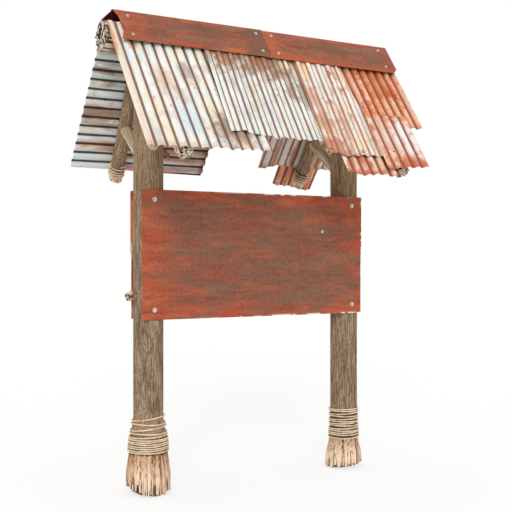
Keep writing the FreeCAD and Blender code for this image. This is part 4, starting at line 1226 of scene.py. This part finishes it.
@dataclass(frozen=True)
class RustPlate:
    """Old steel plate gone to matt rust: brown middle, orange-red rim, a few chips of pale paint, and painted
    shade on faces turned down.
    """

    name: str
    middle: tuple[float, float]
    size: tuple[float, float]
    stains: tuple[Stain, ...] = ()
    brown: str = "#8f5d49"
    haze: str = "#8b6551"
    orange: str = "#c86b48"
    red: str = "#b75036"
    smudge: str = "#7f5543"
    dark_red: str = "#843d2f"
    chip: str = "#f9f1e3"
    # Colour that multiplies faces turned down: painted shade.
    under: str = WHITE
    rim_reach: float = 0.17
    left_reach: float = 0.34
    left_glow: float = 0.85
    chips: float = 1.0
    cloud_mm: tuple[float, float] = (420.0, 120.0)
    streak_mm: tuple[float, float] = (230.0, 24.0)
    smear_mm: tuple[float, float] = (250.0, 75.0)
    speck_mm: tuple[float, float] = (84.0, 40.0)
    pit_mm: tuple[float, float] = (22.0, 13.0)  # real pits are finer, too fine to show

    def material(self) -> Material:
        """Builds the material.

        Returns:
            The finish of one plate.
        """
        t = Tree(self.name)
        place = t.add("TexCoord", out="Object")
        half_w, half_h = self.size[0] / 2, self.size[1] / 2
        x_axis = t.add("SeparateXYZ", {0: place}, out="X")
        offs, insets = [], []
        for axis, middle, half in ((x_axis, self.middle[0], half_w),
                                   (x_axis.node.outputs["Z"], self.middle[1], half_h)):
            offs.append(t.add("Math", {0: axis, 1: middle}, operation="SUBTRACT"))
            far = t.add("Math", {0: offs[-1]}, operation="ABSOLUTE")
            insets.append(t.add("Math", {0: half, 1: far}, operation="SUBTRACT"))
        x, z = offs
        rim = t.add("Math", dict(enumerate(insets)), operation="MINIMUM")
        fields = []
        sizes = (self.cloud_mm, self.streak_mm, self.smear_mm, self.speck_mm, self.pit_mm)
        for number, (wide, high) in enumerate(sizes):
            fields.append(t.chances(place, (1000 / wide, 1000 / wide, 1000 / high),
                                    (number * 5.3, 0.0, number * 2.1), 0.55, 0.4))
        (cloud, haze, reddish), (streak, *_), (smear, blot, _), (speck, flaked, scar), (pits, *_) = fields
        hazy = t.add("MapRange", {"Value": haze, "From Min": 0.42, "From Max": 0.60})
        layer = t.add("Mix", {"Factor": hazy, "A": self.brown, "B": self.haze}, data_type="RGBA")
        wave = t.add("MapRange", {"Value": cloud, "From Min": 0.3, "From Max": 0.7,
                                  "To Min": -self.rim_reach, "To Max": self.rim_reach})
        glows = []
        for source, start, full, most in ((rim, self.rim_reach, -0.04, 0.9),
                                          (x, self.left_reach - half_w, -half_w, self.left_glow)):
            ragged = t.add("Math", {0: source, 1: wave}, operation="SUBTRACT")
            glows.append(t.add("MapRange", {"Value": ragged, "From Min": start, "From Max": full,
                                            "To Max": most}, interpolation_type="SMOOTHSTEP"))
        glow = t.add("Math", dict(enumerate(glows)), operation="MAXIMUM")
        lit = t.add("MapRange", {"Value": smear, "From Min": 0.40, "From Max": 0.60})
        warm = t.add("Mix", {"Factor": lit, "A": self.red, "B": self.orange}, data_type="RGBA")
        layer = t.add("Mix", {"Factor": glow, "A": layer, "B": warm}, data_type="RGBA")
        wavy = t.add("MapRange", {"Value": smear, "From Min": 0.3, "From Max": 0.7,
                                  "To Min": -0.45, "To Max": 0.45})
        layer = t.veils(layer, [
            (blot, 0.50, 0.68, 0.36, self.orange), (smear, 0.44, 0.30, 0.55, self.smudge),
            (reddish, 0.54, 0.70, 0.42, self.red), (speck, 0.56, 0.70, 0.32, self.orange),
            (scar, 0.43, 0.30, 0.38, self.dark_red), *(stain.veil(t, x, z, wavy) for stain in self.stains)])
        layer = t.soil(layer, 0.7, streak, (0.30, "#e3d7d1"), 0.54)
        layer = t.soil(layer, 0.75, pits, (0.30, "#cfc2bc"), 0.54)
        at_rim = t.add("MapRange", {"Value": rim, "From Min": 0.012, "From Max": 0.003})
        some = t.add("MapRange", {"Value": flaked, "From Min": 0.51, "From Max": 0.55})
        at_right = t.add("MapRange", {"Value": x, "From Min": -half_w * 0.6, "From Max": half_w * 0.2,
                                      "To Max": self.chips})
        chip = t.add("Math", {0: at_rim, 1: some}, operation="MULTIPLY")
        chip = t.add("Math", {0: chip, 1: at_right}, operation="MULTIPLY")
        layer = t.add("Mix", {"Factor": chip, "A": layer, "B": self.chip}, data_type="RGBA")
        # Painted shade: faces turned down are multiplied by the under colour.
        facing = t.add("SeparateXYZ", {0: t.add("NewGeometry", out="Normal")}, out="Z")
        below = t.add("MapRange", {"Value": facing, "From Min": -0.2, "From Max": -0.4})
        layer = t.add("Mix", {"Factor": below, "A": layer, "B": self.under}, data_type="RGBA",
                      blend_type="MULTIPLY")
        rough = t.add("MapRange", {"Value": streak, "From Min": 0.3, "From Max": 0.7,
                                   "To Min": 0.62, "To Max": 0.86})
        height = t.add("Mix", {"Factor": 0.6, "A": streak, "B": pits}, data_type="FLOAT")
        bump = t.add("Bump", {"Height": height, "Strength": 0.3, "Distance": 0.003})
        return t.finish(t.add("BsdfPrincipled", {
            "Base Color": layer, "Roughness": rough, "Specular IOR Level": 0.25, "Normal": bump}))


@dataclass(frozen=True)
class DulledZinc:
    """Zinc-plated fixings dulled by weather: pale grey metal with dirt in its hollows."""

    name: str
    light: str = "#e2e5df"
    dirt: str = "#8f8a80"
    grime_mm: float = 8.0

    def material(self) -> Material:
        """Builds the material.

        Returns:
            The finish of the zinc-plated fixings.
        """
        t = Tree(self.name)
        place = t.add("TexCoord", out="Object")
        grime = t.add("TexNoise", {"Vector": place, "Scale": 1000 / self.grime_mm, "Detail": 4.0})
        colour = t.add("ValToRGB", {"Fac": grime}, ramp=((0.34, self.dirt), (0.56, self.light)))
        bump = t.add("Bump", {"Height": grime, "Strength": 0.25, "Distance": 0.001})
        return t.finish(t.add("BsdfPrincipled", {
            "Base Color": colour, "Roughness": 0.42, "Metallic": 0.35, "Normal": bump}))


@dataclass(frozen=True)
class RustedNail:
    """Wrought nails gone dark brown, those high on the roof still grey with zinc."""

    name: str
    dark: str = "#3a2a22"
    rust: str = "#6f4130"
    zinc: str = "#c9c8c2"
    rust_up_to: float = 2.62
    grime_mm: float = 6.0

    def material(self) -> Material:
        """Builds the material.

        Returns:
            The finish of nails, spikes and pins.
        """
        t = Tree(self.name)
        place = t.add("TexCoord", out="Object")
        grime = t.add("TexNoise", {"Vector": place, "Scale": 1000 / self.grime_mm, "Detail": 4.0})
        colour = t.add("ValToRGB", {"Fac": grime}, ramp=((0.36, self.dark), (0.62, self.rust)))
        height = t.add("SeparateXYZ", {0: place}, out="Z")
        sound = t.add("MapRange", {"Value": height, "From Min": self.rust_up_to,
                                   "From Max": self.rust_up_to + 0.02, "To Max": 0.85})
        colour = t.add("Mix", {"Factor": sound, "A": colour, "B": self.zinc}, data_type="RGBA")
        bump = t.add("Bump", {"Height": grime, "Strength": 0.4, "Distance": 0.001})
        return t.finish(t.add("BsdfPrincipled", {
            "Base Color": colour, "Roughness": 0.75, "Metallic": 0.2, "Normal": bump}))


@dataclass(frozen=True)
class TinSheet:
    """Corrugated galvanised sheet: chalky zinc on its crests, rust in its hollows and at its cut ends, with
    painted shade on its flanks toward the hollows and on faces turned away from its outer side.
    """

    name: str
    slope: Slope
    origin: tuple[float, float]
    size: tuple[float, float]
    skew: float
    lift: tuple[float, float]
    pitch: float
    depth: float
    zinc: str = "#fdfaf3"
    cool: str = "#d3e6e9"
    cream: str = "#fbeac6"
    haze: str = "#a58a72"
    rust: str = "#c57c52"
    spot: str = "#f2d2b8"
    line: str = "#80503a"
    line_at: float = 0.06
    line_half: float = 0.24
    # Darkening from the crests toward the hollows in the rust colour: rust in part, painted shade in part.
    flank_rust_and_shade: float = 0.0
    from_below: bool = False
    creamy: float = 0.6
    hazy: float = 0.45
    rusted: float = 0.25
    mottled: float = 0.0
    stains: tuple[Stain, ...] = ()
    end_rust: float = 0.5
    # How much faces turned away from the outer side are darkened as painted shade.
    underside_shade: float = 0.5
    streak_mm: tuple[float, float] = (20.0, 230.0)
    cloud_mm: tuple[float, float] = (170.0, 190.0)
    blot_mm: tuple[float, float] = (64.0, 96.0)
    grit_mm: tuple[float, float] = (12.0, 18.0)  # real grit is finer, too fine to show
    fleck_mm: tuple[float, float] = (26.0, 44.0)

    def axes(self) -> tuple[Vector, Vector, Vector]:
        """Works out how the sheet lies.

        Returns:
            Its directions across the ribs, along them and square to the sheet.
        """
        turn = math.radians(self.skew)
        ridge, down, out = Vector((1, 0, 0)), Frame.down(self.slope), Frame.out(self.slope)
        flat = ridge * math.cos(turn) + down * math.sin(turn)
        ribs = down * math.cos(turn) - ridge * math.sin(turn)
        rise = (self.lift[1] - self.lift[0]) / self.size[0]
        return (flat + out * rise).normalized(), ribs, (out - flat * rise).normalized()

    def material(self) -> Material:
        """Builds the material.

        Returns:
            The finish of one sheet.
        """
        t = Tree(self.name)
        across, ribs, normal = self.axes()
        start = Frame.on_slope(self.slope, *self.origin, self.lift[0])
        place = t.add("VectorMath", {0: t.add("TexCoord", out="Object"), 1: tuple(start)},
                      operation="SUBTRACT")
        s, v, w = (t.add("VectorMath", {0: place, 1: tuple(way)}, out="Value", operation="DOT_PRODUCT")
                   for way in (across, ribs, normal))
        sheet = t.add("CombineXYZ", {0: s, 1: v})
        fields = []
        sizes = (self.streak_mm, self.cloud_mm, self.blot_mm, self.grit_mm, self.fleck_mm)
        for number, (wide, long) in enumerate(sizes):
            fields.append(t.chances(sheet, (1000 / wide, 1000 / long, 1.0),
                                    (self.origin[0] * 9 + number, self.origin[1] * 5, 0.0),
                                    0.6, 0.7 if number else 0.0))
        (streak, chalk, _), (cloud, murk, damp), (blot, mottle, _), (grit, *_), (fleck, *_) = fields
        chalky = t.add("MapRange", {"Value": chalk, "From Min": 0.36, "From Max": 0.60})
        layer = t.add("Mix", {"Factor": chalky, "A": self.cool, "B": self.zinc}, data_type="RGBA")
        rib = t.add("Math", {0: s, 1: self.pitch}, operation="DIVIDE")
        rib = t.add("Math", {0: rib}, operation="FLOOR")
        rib_tone = t.add("TexWhiteNoise", {"W": rib}, out="Value", noise_dimensions="1D")
        ribbed = t.add("Math", {0: rib_tone, 1: 0.10, 2: blot}, operation="MULTIPLY_ADD")
        rusty = t.add("Math", {0: damp, 1: 0.5, 2: ribbed}, operation="MULTIPLY_ADD")
        rust_from = 0.98 - 0.36 * self.rusted
        wavy = t.add("MapRange", {"Value": blot, "From Min": 0.3, "From Max": 0.7,
                                  "To Min": -0.45, "To Max": 0.45})
        end = t.add("Math", {0: streak, 1: 0.10, 2: v}, operation="MULTIPLY_ADD")
        level = t.add("Math", {0: w, 1: self.depth}, operation="DIVIDE")
        if self.from_below:
            level = t.add("Math", {0: 1.0, 1: level}, operation="SUBTRACT")
        off_line = t.add("Math", {0: level, 1: self.line_at}, operation="SUBTRACT")
        off_line = t.add("Math", {0: off_line}, operation="ABSOLUTE")
        drift = t.add("Math", {0: streak, 1: 0.5}, operation="SUBTRACT")
        off_line = t.add("Math", {0: drift, 1: 0.24, 2: off_line}, operation="MULTIPLY_ADD")
        layer = t.veils(layer, [
            (cloud, 0.47, 0.60, self.creamy, self.cream), (murk, 0.51, 0.66, self.hazy, self.haze),
            (mottle, 0.53, 0.62, self.mottled, self.spot),
            (fleck, 0.52, 0.60, 0.75 * self.mottled, self.spot),
            (rusty, rust_from, rust_from + 0.18, 0.8, self.rust),
            *(stain.veil(t, s, v, wavy) for stain in self.stains),
            (end, self.size[1] - 0.02, self.size[1] + 0.035, self.end_rust, self.rust),
            # Flank darkening: rust in part, painted shade in part.
            (level, 0.95, 0.15, self.flank_rust_and_shade, self.line),
            (off_line, self.line_half + 0.04, self.line_half * 0.35, 0.92, self.line)])
        worn = t.add("Mix", {"Factor": 0.5, "A": streak, "B": grit}, data_type="FLOAT")
        layer = t.soil(layer, 0.4, worn, (0.34, "#c2b8b0"), 0.50)
        # Painted shade: faces turned away from the sheet's outer side are darkened.
        facing = t.add("VectorMath", {0: t.add("NewGeometry", out="Normal"), 1: tuple(normal)}, out="Value",
                       operation="DOT_PRODUCT")
        under = t.add("MapRange", {"Value": facing, "From Min": 0.1, "From Max": -0.1,
                                   "To Max": self.underside_shade})
        layer = t.add("Mix", {"Factor": under, "A": layer, "B": "#8b7768"}, data_type="RGBA",
                      blend_type="MULTIPLY")
        rough = t.add("MapRange", {"Value": rusty, "From Min": 0.6, "From Max": 1.1,
                                   "To Min": 0.5, "To Max": 0.82})
        bump = t.add("Bump", {"Height": grit, "Strength": 0.25, "Distance": 0.002})
        return t.finish(t.add("BsdfPrincipled", {
            "Base Color": layer, "Roughness": rough, "Specular IOR Level": 0.3, "Normal": bump}))


@dataclass
class TinRoof:
    """Roof sheets, each with its own weathering. A profile is its pitch and its depth."""

    frame: dict
    fine: tuple[float, float] = (0.076, 0.0172)
    ribbed: tuple[float, float] = (0.092, 0.0132)
    wavy: tuple[float, float] = (0.088, 0.0152)
    seated: tuple[float, float] = (0.0003, 0.0003)

    STAINS = {
        "front_left_sheet": (
            Stain(0.02, 0.5, 0.045, 0.9, "#f9dfc6", 0.75), Stain(0.0, 0.14, 0.022, 0.26, "#d58f6c", 0.85),
            Stain(0.13, 0.16, 0.05, 0.16, "#c98a64", 0.7), Stain(0.47, 0.45, 0.07, 0.11, "#9c8068", 0.6),
            Stain(0.27, 0.56, 0.08, 0.16, "#e2b795", 0.5), Stain(0.66, 0.98, 0.20, 0.18, "#a08067", 0.85),
            Stain(0.75, 0.55, 0.10, 0.2, "#f4e6b9", 0.6), Stain(0.36, 0.66, 0.04, 0.14, "#c49a7c", 0.45),
            Stain(0.62, 0.40, 0.16, 0.05, "#d9b99f", 0.5), Stain(0.36, 0.95, 0.10, 0.16, "#d9eaf0", 0.8)),
        "front_middle_sheet": (
            Stain(0.45, 0.14, 0.75, 0.30, "#9b7250", 0.9), Stain(0.24, 0.12, 0.05, 0.09, "#fdf0cb", 0.9),
            Stain(0.33, 0.15, 0.03, 0.13, "#f9e6bb", 0.8), Stain(0.12, 0.26, 0.07, 0.12, "#b9704a", 0.7),
            Stain(0.42, 0.24, 0.06, 0.12, "#b9704a", 0.6), Stain(0.64, 0.20, 0.07, 0.08, "#fdf0cb", 0.9),
            Stain(0.74, 0.28, 0.05, 0.10, "#f9e6bb", 0.85), Stain(0.62, 0.50, 0.05, 0.16, "#a8917c", 0.7),
            Stain(0.75, 0.52, 0.14, 0.16, "#a98c74", 0.6)),
        "front_right_sheet": (
            Stain(0.04, 0.16, 0.07, 0.26, "#f2d3a8", 0.9), Stain(0.05, 0.60, 0.06, 0.16, "#cf8d66", 0.65),
            Stain(0.07, 0.86, 0.08, 0.14, "#c67a52", 0.65), Stain(0.20, 0.35, 0.09, 0.35, "#eef0ea", 0.75),
            Stain(0.06, 1.08, 0.13, 0.12, "#bf6842", 0.75), Stain(0.22, 0.86, 0.05, 0.24, "#cf8a62", 0.6),
            Stain(0.33, 0.98, 0.05, 0.12, "#f3e2b8", 0.6)),
        "front_far_right_sheet": (
            Stain(0.34, 0.06, 0.5, 0.20, "#ad6440", 0.65), Stain(0.08, 0.42, 0.12, 0.4, "#edcdb9", 0.5),
            Stain(0.40, 0.30, 0.14, 0.22, "#cd6a38", 0.65), Stain(0.60, 0.62, 0.05, 0.3, "#f1d0b6", 0.65)),
        "front_patch_sheet": (
            Stain(0.12, 0.28, 0.14, 0.24, "#efd9ca", 0.75), Stain(0.29, 0.25, 0.115, 0.23, "#f6f4ee", 1.0),
            Stain(0.26, 0.52, 0.2, 0.09, "#c8683d", 0.8), Stain(0.2, 0.0, 0.3, 0.05, "#c8683d", 0.8)),
        "back_left_sheet": (
            # The near-white patches at -0.22 and -1.10 lighten rows that lie in shade: painted light.
            Stain(-0.22, 0.12, 0.075, 0.34, "#f6feff", 0.95), Stain(-0.36, 0.08, 0.035, 0.22, "#a9856c", 0.8),
            Stain(-0.53, 0.15, 0.04, 0.25, "#f5ffff", 0.85), Stain(-0.72, 0.12, 0.07, 0.32, "#a98569", 0.8),
            Stain(-0.80, 0.22, 0.03, 0.2, "#c99d82", 0.7), Stain(-0.88, 0.10, 0.035, 0.3, "#eef4f4", 0.7),
            Stain(-0.96, 0.16, 0.04, 0.3, "#d9a07d", 0.75), Stain(-1.02, 0.75, 0.10, 0.4, "#e3a37c", 0.75),
            Stain(-1.18, 0.70, 0.05, 0.4, "#dd8d5f", 0.75), Stain(-1.10, 0.62, 0.035, 0.3, "#fff8ec", 0.9),
            Stain(-1.09, 0.08, 0.09, 0.20, "#e7f5fa", 0.9)),
        "back_inner_right_sheet": (
            Stain(0.05, 0.95, 0.03, 0.26, "#c47f5b", 0.85), Stain(0.14, 1.0, 0.03, 0.22, WHITE, 0.9),
            Stain(0.20, 0.95, 0.02, 0.3, "#c98763", 0.85), Stain(0.29, 0.9, 0.03, 0.3, WHITE, 0.9)),
        "back_outer_right_sheet": (
            Stain(0.37, 0.95, 0.03, 0.26, "#c98763", 0.85), Stain(0.45, 0.95, 0.03, 0.3, WHITE, 0.9),
            Stain(0.62, 0.9, 0.06, 0.3, "#cb8a66", 0.8)),
    }

    def front(self) -> dict[str, TinSheet]:
        """Weathering of the sheets on the front slope.

        Returns:
            The finish of each sheet node, without its stains.
        """
        slope = Slope.FRONT
        orange = {"zinc": "#f59c68", "cool": "#e07a44", "cream": "#fdc298", "haze": "#c65c2b",
                  "rust": "#d66a38", "line": "#99492b", "line_half": 0.18, "flank_rust_and_shade": 0.55}
        ridged = {"line": "#83533a", "line_at": 0.50, "line_half": 0.31}
        return {
            "front_left_sheet": TinSheet(
                "galvanised_front_left", slope, (-1.175, 0.03), (0.902, 1.171), 0.0, self.seated, *self.fine,
                creamy=0.6, hazy=0.26, rusted=0.15, end_rust=0.35, cool="#dbedef"),
            "front_middle_sheet": TinSheet(
                "galvanised_front_middle", slope, (-0.490, 0.03), (0.835, 1.053), 3.7, (0.0230, 0.008),
                *self.ribbed, **ridged, creamy=0.4, hazy=0.25, rusted=0.08, end_rust=0.5),
            "front_right_sheet": TinSheet(
                "galvanised_front_right", slope, (0.262, 0.03), (0.430, 1.168), 5.0, (0.0215, 0.0178),
                *self.wavy, **{**ridged, "line": "#a8674a"}, zinc="#fdf6ec", cool="#e3e9e4",
                cream="#f3dcbc", haze="#cfa085", hazy=0.6, rusted=0.34, end_rust=0.8, mottled=0.6),
            "front_far_right_sheet": TinSheet(
                "rusted_front_far_right", slope, (0.560, 0.03), (0.638, 0.82), 2.5, self.seated, *self.fine,
                **orange, creamy=0.75, hazy=0.9, rusted=0.35, mottled=0.95, end_rust=0.2,
                blot_mm=(46.0, 70.0)),
            "front_lower_right_sheet": TinSheet(
                "rusted_front_lower_right", slope, (0.275, 1.09), (0.455, 0.271), 3.0, self.seated,
                *self.fine, zinc="#ffe5ce", cool="#f1bc98", cream="#ffedda", haze="#d79068",
                rust="#cb6f47", line="#9a523a", flank_rust_and_shade=0.3, hazy=0.8, rusted=0.66, end_rust=0.9,
                mottled=0.75),
            "front_patch_sheet": TinSheet(
                "rusted_front_patch", slope, (0.640, 0.712), (0.394, 0.604), 3.6, (0.0333, 0.0178),
                *self.wavy, **{**orange, "flank_rust_and_shade": 0.3}, creamy=0.6, hazy=0.5, rusted=0.38, mottled=0.8,
                end_rust=0.75, spot="#fbe9dc"),
        }

    def back(self) -> dict[str, TinSheet]:
        """Weathering of the sheets on the back slope, whose undersides show.

        Returns:
            The finish of each sheet node, without its stains.
        """
        slope = Slope.BACK
        below = {"from_below": True, "underside_shade": 0.0}
        # Near-white colours for undersides in the roof's shade: painted light that makes up for that shade.
        lightened_in_shade = {"zinc": WHITE, "cool": "#fff6e8", "cream": "#fff6df", "haze": "#f6d8c3",
                  "rust": "#d59374", "line": "#9d6a54", "line_half": 0.18, **below}
        return {
            # Very pale zinc: painted light for the shade under the roof; near-black lines in its grooves:
            # painted shade.
            "back_left_sheet": TinSheet(
                "galvanised_back_left", slope, (-1.175, 0.03), (1.20, 1.105), -90.0, self.seated, *self.fine,
                **below, zinc="#feffff", cool="#d3e5e9", cream="#f2e7d9", haze="#a88b76", rust="#a4755c",
                line="#251b17", line_half=0.16, hazy=0.8, rusted=0.22, end_rust=0.9,
                blot_mm=(60.0, 180.0), cloud_mm=(130.0, 420.0)),
            "back_middle_sheet": TinSheet(
                "galvanised_back_middle", slope, (-0.170, 0.03), (0.640, 0.872), 0.0, (0.0178, 0.0178),
                *self.ribbed, **lightened_in_shade, hazy=0.5, rusted=0.3),
            "back_inner_right_sheet": TinSheet(
                "galvanised_back_inner_right", slope, (0.350, 0.03), (0.328, 1.102), 0.0, self.seated,
                *self.fine, **lightened_in_shade, hazy=0.6, rusted=0.30, end_rust=0.9),
            "back_outer_right_sheet": TinSheet(
                "galvanised_back_outer_right", slope, (0.350, 0.03), (0.848, 1.100), 0.0, (0.0018, 0.0018),
                *self.fine, **lightened_in_shade, hazy=0.6, rusted=0.30, end_rust=0.9),
            "back_lower_right_sheet": TinSheet(
                "rusted_back_lower_right", slope, (0.622, 1.010), (0.411, 0.327), 0.0, (0.0193, 0.0193),
                *self.fine, **below, zinc="#ffc6a8", cool="#ea9a7b", cream="#ffe0c9", haze="#d47961",
                rust="#cc6d50", line="#954d39", hazy=0.6, rusted=0.5, end_rust=0.6),
        }

    def dress(self) -> None:
        """Gives each sheet its finish."""
        for node, finish in {**self.front(), **self.back()}.items():
            coat(self.frame, node, replace(finish, stains=self.STAINS.get(node, ())).material())


@dataclass
class Ironwork:
    """Plates, ridge caps and fixings of the frame, and its peeled poles."""

    frame: dict
    panel_middle: tuple[float, float] = (-0.027, 1.66)
    panel_size: tuple[float, float] = (1.84, 0.90)
    cap_height: float = 0.245
    cap_z: float = 3.215
    caps: dict = field(default_factory=lambda: {  # middle and length of each
        "ridge_cap_left": (-0.539, 1.174), "ridge_cap_right": (0.5775, 1.249)})
    strut_way: tuple[float, float] = (0.788, 0.616)

    STAINS = {
        "back_panel": (
            # The bright orange strip at the back panel's left edge is rust of its rim in part and painted
            # light against the post's shade in part.
            Stain(-0.91, 0.24, 0.035, 0.16, "#f58e60", 0.9), Stain(-0.913, 0.02, 0.012, 0.09, "#f7dcc8", 0.9),
            Stain(-0.913, -0.40, 0.012, 0.06, "#f7dcc8", 0.9)),
        "ridge_cap_left": (
            Stain(0.53, 0.0, 0.17, 0.20, "#835b49", 0.9), Stain(0.10, 0.04, 0.30, 0.06, "#7d5747", 0.7),
            Stain(-0.32, -0.02, 0.16, 0.04, "#7f5545", 0.6), Stain(0.27, -0.10, 0.10, 0.035, "#cf6b41", 0.9),
            Stain(-0.10, -0.11, 0.22, 0.03, "#b9512f", 0.7), Stain(-0.45, 0.0, 0.10, 0.15, "#bb5f3f", 0.6)),
        "ridge_cap_right": (
            Stain(-0.51, 0.0, 0.09, 0.20, "#c66845", 0.85), Stain(-0.30, -0.10, 0.26, 0.04, "#c65d38", 0.8),
            Stain(-0.26, 0.01, 0.16, 0.022, "#7b4031", 0.6), Stain(0.02, 0.03, 0.26, 0.06, "#7d5a49", 0.7),
            Stain(0.40, 0.0, 0.18, 0.06, "#85604d", 0.6), Stain(0.30, -0.11, 0.24, 0.03, "#bb5735", 0.7)),
    }

    def dress(self) -> None:
        """Gives each of them its finish."""
        self.dress_panels()
        self.dress_caps()
        self.dress_fixings()
        self.dress_poles()

    def dress_panels(self) -> None:
        """Gives the two panels their rust."""
        for node in ("front_panel", "back_panel"):
            plate = RustPlate(node + "_rust", self.panel_middle, self.panel_size, self.STAINS.get(node, ()))
            coat(self.frame, node, plate.material())

    def dress_caps(self) -> None:
        """Gives the two lengths of ridge cap their rust."""
        for node, (middle, width) in self.caps.items():
            # The caps' under colour is painted shade on their down-turned faces.
            plate = RustPlate(node + "_rust", (middle, self.cap_z), (width, self.cap_height),
                              self.STAINS[node], brown="#9c5d42", haze="#966954", under="#704e3f",
                              rim_reach=0.05, left_reach=0.12, left_glow=0.7, chips=0.0,
                              cloud_mm=(330.0, 60.0), smear_mm=(200.0, 40.0), streak_mm=(170.0, 14.0))
            coat(self.frame, node, plate.material())

    def dress_fixings(self) -> None:
        """Gives bolts, washers and screws their zinc, and nails, spikes and pins their rust."""
        zinc = DulledZinc("dulled_zinc").material()
        iron = RustedNail("rusted_nail_iron").material()
        for node in self.frame["nodes"]:
            if node.endswith(("_bolts", "_washers", "_screw", "_screws")):
                coat(self.frame, node, zinc)
            elif node.endswith(("_nails", "_spikes", "_pins")):
                coat(self.frame, node, iron)

    def dress_poles(self) -> None:
        """Gives the struts and purlins their wood."""
        level, upright = self.strut_way
        for node in self.frame["nodes"]:
            if node.endswith("_strut"):
                way = (0.0, -level if node.startswith("front") else level, upright)
                coat(self.frame, node, PeeledPole("peeled_" + node, way).material())
            elif node.endswith("_purlin"):
                coat(self.frame, node, PeeledPole("peeled_" + node, (1.0, 0.0, 0.0)).material())


@dataclass
class Studio:
    """Pale floor, soft light and the photograph's camera."""

    eye: tuple[float, float, float] = (-3.3301, -5.9060, 1.6458)
    gaze: tuple[float, float, float] = (0.4921, 0.8705, 0.0009)
    lens: float = 63.96
    sensor: float = 36.0
    far: float = 200.0
    floor_size: float = 80.0
    floor_drop: float = 0.0005
    floor_glow: float = 1.12
    floor_share: float = 0.62
    sky: float = 0.76
    lamp: float = 0.98
    lamp_spread: float = math.radians(25.0)
    lamp_way: tuple[float, float, float] = (0.42, 0.78, -0.46)

    def floor(self) -> None:
        """Adds a wide pale floor that looks white to the camera but keeps the shadow."""
        clear_selection()
        bpy.ops.mesh.primitive_plane_add(size=self.floor_size, location=(0.0, 0.0, -self.floor_drop))
        ground = bpy.context.object
        ground.name = "studio_floor"
        bpy.ops.object.transform_apply(location=True, rotation=True, scale=True)
        t = Tree("pale_floor")
        seen = t.add("LightPath", out="Is Camera Ray")
        matt = t.add("BsdfDiffuse", {"Color": "#f4f3f0"})
        glow = t.add("Emission", {"Color": WHITE, "Strength": self.floor_glow})
        share = t.add("Math", {0: seen, 1: self.floor_share}, operation="MULTIPLY")
        paint(ground, t.finish(t.add("MixShader", {0: share, 1: matt, 2: glow})))

    def light(self) -> None:
        """Adds an even sky, white where it is seen or mirrored, and one wide soft lamp from the front."""
        world = bpy.data.worlds.new("soft_sky")
        bpy.context.scene.world = world
        t = Tree("soft_sky", world)
        seen = t.add("LightPath", out="Is Camera Ray")
        shown = t.add("Math", {0: seen, 1: seen.node.outputs["Is Glossy Ray"]}, operation="MAXIMUM")
        sky, backdrop = (t.add("Background", {"Color": WHITE, "Strength": strength})
                         for strength in (self.sky, 1.0))
        t.finish(t.add("MixShader", {0: shown, 1: sky, 2: backdrop}), "OutputWorld")
        lamp = bpy.data.lights.new("wide_lamp", "SUN")
        lamp.energy = self.lamp
        lamp.angle = self.lamp_spread
        sun = bpy.data.objects.new("wide_lamp", lamp)
        sun.rotation_euler = Vector(self.lamp_way).to_track_quat("-Z", "Y").to_euler()
        bpy.context.scene.collection.objects.link(sun)

    def camera(self) -> None:
        """Adds the camera at the photograph's viewpoint."""
        data = bpy.data.cameras.new("photo_camera")
        data.sensor_width = self.sensor
        data.lens = self.lens
        data.clip_end = self.far
        camera = bpy.data.objects.new("photo_camera", data)
        camera.location = self.eye
        camera.rotation_euler = Vector(self.gaze).to_track_quat("-Z", "Y").to_euler()
        bpy.context.scene.collection.objects.link(camera)
        bpy.context.scene.camera = camera
        bpy.context.scene.view_settings.view_transform = "Standard"

    def build(self) -> None:
        """Sets up the studio."""
        self.camera()
        self.light()
        self.floor()


def main() -> None:
    """Loads the frame, sets up the studio and dresses the frame."""
    logging.basicConfig(level=logging.INFO)
    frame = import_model()
    Studio().build()
    timber = Timber()
    timber.build()
    Lashings(timber).build()
    Ironwork(frame).dress()
    TinRoof(frame).dress()


if __name__ == "__main__":
    main()
